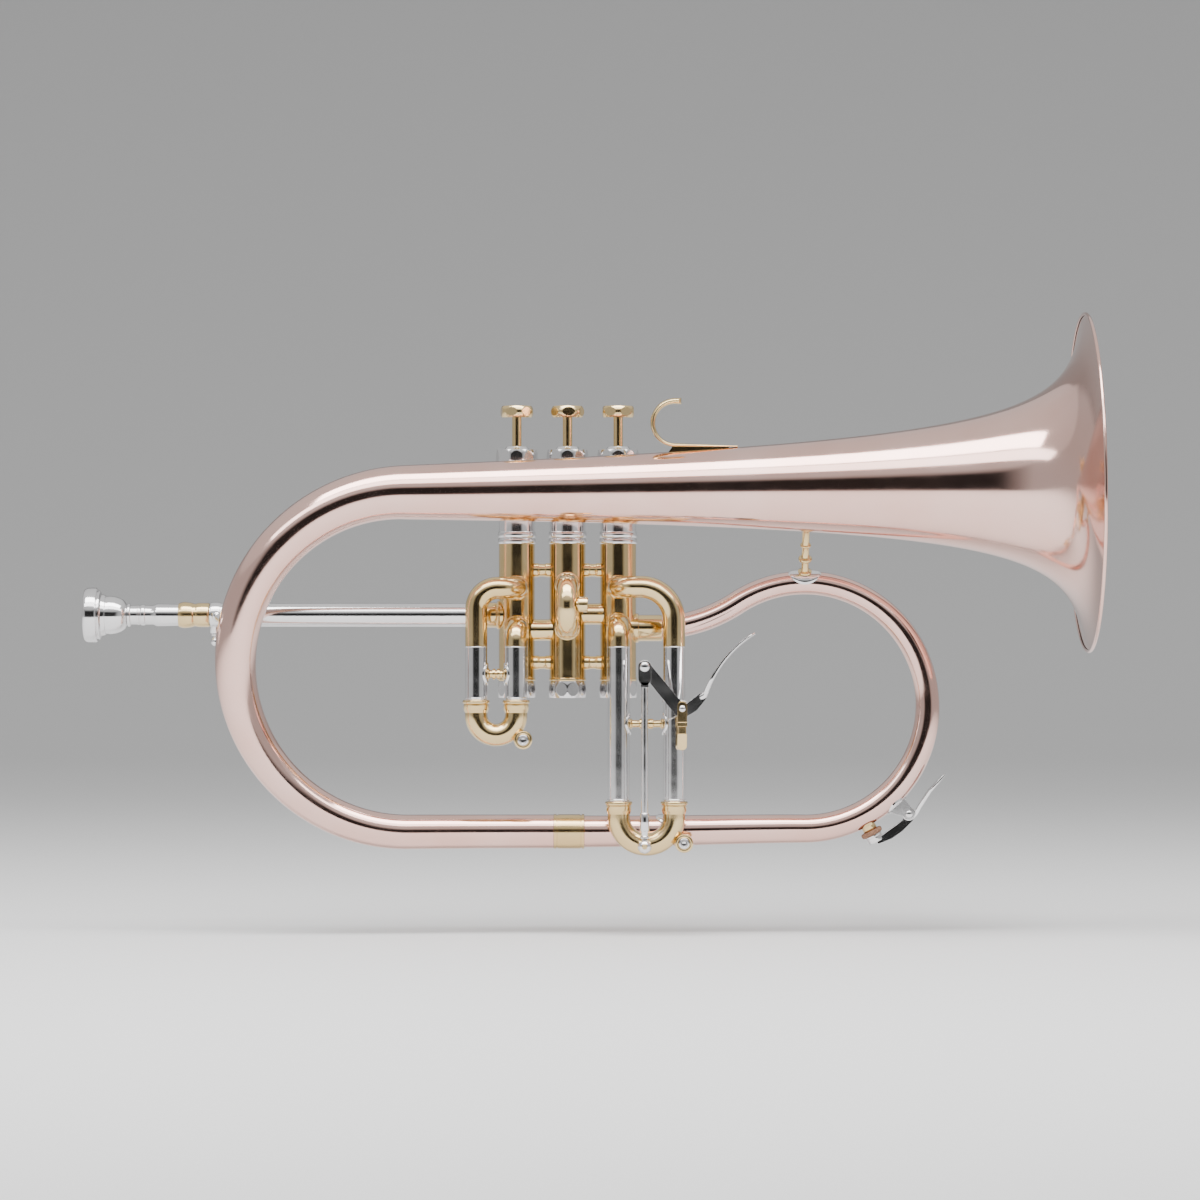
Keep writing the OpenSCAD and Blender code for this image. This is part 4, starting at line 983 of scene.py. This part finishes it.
def make_finger_hook():
    centre = Vector((50, BELL_Y, 89.1))
    r, tip_x, end_x = 10.2, 3.0, 29.0
    arc = [math.radians(90 + 180 * k / 48) for k in range(49)]
    path = [centre + Vector((tip_x * (1 - k / 6), 0, r)) for k in range(6)]
    path += [centre + r * spoke(a) for a in arc]
    path += [centre + Vector((end_x * k / 12, 0, -r - 0.6 * k / 12)) for k in range(1, 13)]
    n = len(path)
    wide, thick = [], []
    for i in range(n):
        t = i / (n - 1)
        wide.append(3.2 * math.sqrt(max(1 - (1 - min(t / 0.05, 1)) ** 2, 0.05)))
        thick.append(1.5 - 0.6 * min(t / 0.8, 1) if t < 0.8 else 0.9 - 0.5 * (t - 0.8) / 0.2)
    solder = [(47, 75.6), (75, 77.4), (75, 78.0), (60, 78.3), (49, 78.3)]
    solder = extruded(solder, BELL_Y - 1.8, BELL_Y + 1.8)
    skin("finger_hook", joined(ribbon(path, wide, thick, 28, 2.3), solder), BRASS)


def out_of_loop(angle, distance):
    return LOOP_CENTRE + distance * spoke(angle)


def make_water_key():
    out = spoke(KEY_ANGLE)
    nipple = [(4.3, 0), (4.0, 0.6), (3.5, 1.2), (3.4, 1.6), (3.4, 3.2), (3.1, 3.7), (1.8, 3.75), (1.8, 1)]
    skin("key_nipple", lathe(nipple, out_of_loop(KEY_ANGLE, 62.6), out, 40), BRASS)
    cork = [(0, 0), (4.8, 0), (5.15, 0.35), (5.2, 1.2), (5.1, 1.8), (4.8, 2.1), (0, 2.1)]
    skin("key_cork", lathe(cork, out_of_loop(KEY_ANGLE, 66.4), out, 48), CORK, body="water_key")

    cup = [(3.9, 0), (4.2, 0.2), (4.2, 0.9), (3.9, 1.2), (3.9, 3.2), (3.6, 3.8), (0, 4.0)]
    seat = out_of_loop(KEY_ANGLE, 68.5)
    barrel = [(0.95, 0), (2.9, 0), (3.1, 0.2), (3.1, 4.6), (2.9, 4.8), (0.95, 4.8)]
    tip, elbow = Vector((177.2, 0, -74.8)), Vector((170.2, 0, -82.5))
    touch = [KEY_PIVOT + Vector((x, 0, z)) for x, z in ((1.6, -1.8), (3.4, 0.4), (5.2, 3.6))]
    touch += [elbow, elbow.lerp(tip, 0.5), tip]
    touch = ribbon(touch, [1.7, 1.8, 2.2, 3.4, 4.0, 2.6], [1.0, 1.0, 0.9, 0.8, 0.6, 0.5], 40, 8)
    cheek = [(145.4, -105.0), (157.0, -96.6), (160.1, -92.6), (164.2, -92.4), (162.4, -96.6), (157.3, -101.6),
             (152.4, -105.0), (145.4, -107.8)]
    cheek_lean = -0.1
    cheek = leaning(rounded(cheek, [0.8, 3, 2, 1, 4, 10, 6, 0.8]), -1.2, 1.7, cheek_lean, KEY_PIVOT.z)
    parts = [lathe(cup, seat, out, 48), lathe(barrel, KEY_PIVOT - Y * 2.4, Y, 40), cheek, touch]
    skin("water_key", joined(*parts), SILVER, body="water_key", edge=0.2)

    mid = math.radians(-47.4)

    def on_loop(u, v, lift):
        t = mid + u / LOOP_R
        o = spoke(t)
        r = 6.12
        return LOOP_CENTRE + LOOP_R * o + (r + lift) * (math.cos(v / r) * o + math.sin(v / r) * Y)

    parts = [lens_foot(on_loop, 5.6, 5.6, 0.9)]
    ear = [tuple(out_of_loop(mid - 0.075, 63.6).xz), tuple(out_of_loop(mid + 0.075, 63.6).xz),
           (KEY_PIVOT.x + 2.2, KEY_PIVOT.z + 1.6), (KEY_PIVOT.x + 2.3, KEY_PIVOT.z - 1.0),
           (KEY_PIVOT.x + 0.8, KEY_PIVOT.z - 2.3)]
    for y in (-3.8, 2.6):
        parts.append(extruded(ear, y, y + 1.2))
    screw = [(0, 0), (1.2, 0.1), (1.6, 0.4), (1.6, 0.8), (0.9, 0.8), (0.9, 8.4), (1.3, 8.4), (1.3, 8.8),
             (0, 8.8)]
    parts.append(lathe(screw, KEY_PIVOT - Y * 4.6, Y, 32))
    skin("key_saddle", joined(*parts), SILVER, edge=0.12)
    coil = [Vector((KEY_PIVOT.x + 2.9 * math.cos(t), -2.2 + 0.06 * t, KEY_PIVOT.z + 2.9 * math.sin(t)))
            for t in [0.3 * k for k in range(63)]]
    spring_wire("key_spring", coil, "water_key", 0.25)


# ---------------------------------------------------------------- build


make_bell()
make_bow()
make_loop()
make_ferrules()
for number in range(3):
    make_valve(number)
    make_valve_spring(number)
make_valve_links()
make_leadpipe()
make_receiver()
make_mouthpiece()
make_first_slide()
make_second_slide()
make_third_slide()
make_crooks()
make_trigger()
make_tube_foot()
make_bell_brace()
make_finger_hook()
make_water_key()

for node in ("piston_1", "piston_2", "piston_3", "inner_leadpipe"):
    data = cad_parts[node].data
    data.materials.clear()
    data.materials.append(SILVER)
for number in range(3):
    stem_low, stem_r, screw_r = 47, STEM_R + 0.02, 1.52
    h = BUTTON_LOW - stem_low
    stem = [(stem_r, 0), (stem_r, h), (screw_r, h), (screw_r, h + 4.6), (0, h + 4.7)]
    origin = Vector((VALVE_X[number], 0, stem_low))
    piece(f"stem_{number + 1}", lathe(stem, origin, Z, 40), BRASS, body=f"valve_{number + 1}")


# ---------------------------------------------------------------- studio


def make_stage():
    """A pale floor that curves up behind the horn, with painted shade that makes it a little darker there."""
    floor_z, back_y, bend_r, top, half_width, front_y = -0.15, 3.7, 1.5, 2.3, 2.6, -0.95
    bend_steps, front_tone, back_tone = 16, 0.84, 0.6
    section = [(front_y, floor_z), (back_y - bend_r, floor_z)]
    for k in range(1, bend_steps + 1):
        a = math.pi / 2 * k / bend_steps
        section.append((back_y - bend_r + bend_r * math.sin(a), floor_z + bend_r * (1 - math.cos(a))))
    section.append((back_y, top))
    verts = [(x, y, z) for y, z in section for x in (-half_width, half_width)]
    faces = [[2 * i, 2 * i + 1, 2 * i + 3, 2 * i + 2] for i in range(len(section) - 1)]
    mesh = bpy.data.meshes.new("floor")
    mesh.from_pydata(verts, [], faces)
    mesh.polygons.foreach_set("use_smooth", [True] * len(mesh.polygons))
    paper, nodes, links, shader = shaded("paper")
    put(shader, {"Roughness": 0.9})
    where = nodes.new("ShaderNodeTexCoord")
    split = nodes.new("ShaderNodeSeparateXYZ")
    links.new(where.outputs["Object"], split.inputs["Vector"])
    # Painted shade: the paper's colour goes from front_tone to back_tone towards the back, standing in for
    # less light reaching the backdrop.
    painted_shade_ramp = nodes.new("ShaderNodeMapRange")
    painted_shade_ramp.interpolation_type = "SMOOTHSTEP"
    put(painted_shade_ramp, {"From Min": -0.15, "From Max": 1.6, "To Min": front_tone, "To Max": back_tone})
    links.new(split.outputs["Y"], painted_shade_ramp.inputs["Value"])
    links.new(painted_shade_ramp.outputs["Result"], shader.inputs["Base Color"])
    mesh.materials.append(paper)
    floor = bpy.data.objects.new("floor", mesh)
    bpy.context.scene.collection.objects.link(floor)


def soft_box(name, place, target, size, power):
    light = bpy.data.lights.new(name, "AREA")
    light.shape = "RECTANGLE"
    light.size, light.size_y = size
    light.energy = power
    obj = bpy.data.objects.new(name, light)
    obj.location = place
    obj.rotation_euler = (Vector(target) - Vector(place)).to_track_quat("-Z", "Y").to_euler()
    bpy.context.scene.collection.objects.link(obj)


def make_world():
    """Soft room light: bright above, below and at both sides, dark along the horizon in front and behind."""
    world = bpy.data.worlds.new("studio")
    bpy.context.scene.world = world
    world.use_nodes = True
    nodes, links = world.node_tree.nodes, world.node_tree.links
    background = nodes["Background"]
    where = nodes.new("ShaderNodeTexCoord")
    split = nodes.new("ShaderNodeSeparateXYZ")
    links.new(where.outputs["Generated"], split.inputs["Vector"])
    height = nodes.new("ShaderNodeMapRange")
    put(height, {"From Min": -1})
    links.new(split.outputs["Z"], height.inputs["Value"])
    ramp = nodes.new("ShaderNodeValToRGB")
    side_level, backdrop = 0.6, (0.8, 0.8, 0.8, 1)
    stops = [(0.0, 0.6), (0.38, 0.5), (0.43, 0.03), (0.63, 0.03), (0.70, 0.8), (1.0, 1.0)]
    ramp.color_ramp.elements[0].position = stops[0][0]
    ramp.color_ramp.elements[1].position = stops[-1][0]
    for place, _ in stops[1:-1]:
        ramp.color_ramp.elements.new(place)
    for element, (_, tone) in zip(ramp.color_ramp.elements, stops):
        element.color = (tone, tone, tone, 1)
    links.new(height.outputs["Result"], ramp.inputs["Fac"])
    aside = nodes.new("ShaderNodeMath")
    aside.operation = "ABSOLUTE"
    links.new(split.outputs["X"], aside.inputs[0])
    sides = nodes.new("ShaderNodeMapRange")
    put(sides, {"From Min": 0.42, "From Max": 0.66, "To Max": side_level})
    links.new(aside.outputs["Value"], sides.inputs["Value"])
    level = nodes.new("ShaderNodeMath")
    level.operation = "MAXIMUM"
    links.new(sides.outputs["Result"], level.inputs[0])
    links.new(ramp.outputs["Color"], level.inputs[1])
    path = nodes.new("ShaderNodeLightPath")
    mix = nodes.new("ShaderNodeMix")
    mix.data_type = "RGBA"
    links.new(path.outputs["Is Camera Ray"], mix.inputs["Factor"])
    links.new(level.outputs["Value"], mix.inputs["A"])
    put(mix, {"B": backdrop})
    links.new(mix.outputs["Result"], background.inputs["Color"])
    put(background, {"Strength": 0.9})


def make_camera():
    camera = bpy.data.cameras.new("camera")
    sensor, distance, width = 36, 2008, 564
    camera.sensor_width = sensor
    camera.lens = sensor * distance / width
    obj = bpy.data.objects.new("camera", camera)
    obj.location = (15.275 * MM, -distance * MM, 7.05 * MM)
    obj.rotation_euler = (math.pi / 2, 0, 0)
    bpy.context.scene.collection.objects.link(obj)
    bpy.context.scene.camera = obj


make_stage()
make_world()
soft_box("top_box", place=(0.0, -0.45, 1.1), target=(0.0, 0, 0), size=(1.6, 0.5), power=22)
soft_box("floor_box", place=(0.0, -0.6, 0.6), target=(0.0, -0.5, -0.15), size=(1.8, 0.3), power=7)
make_camera()
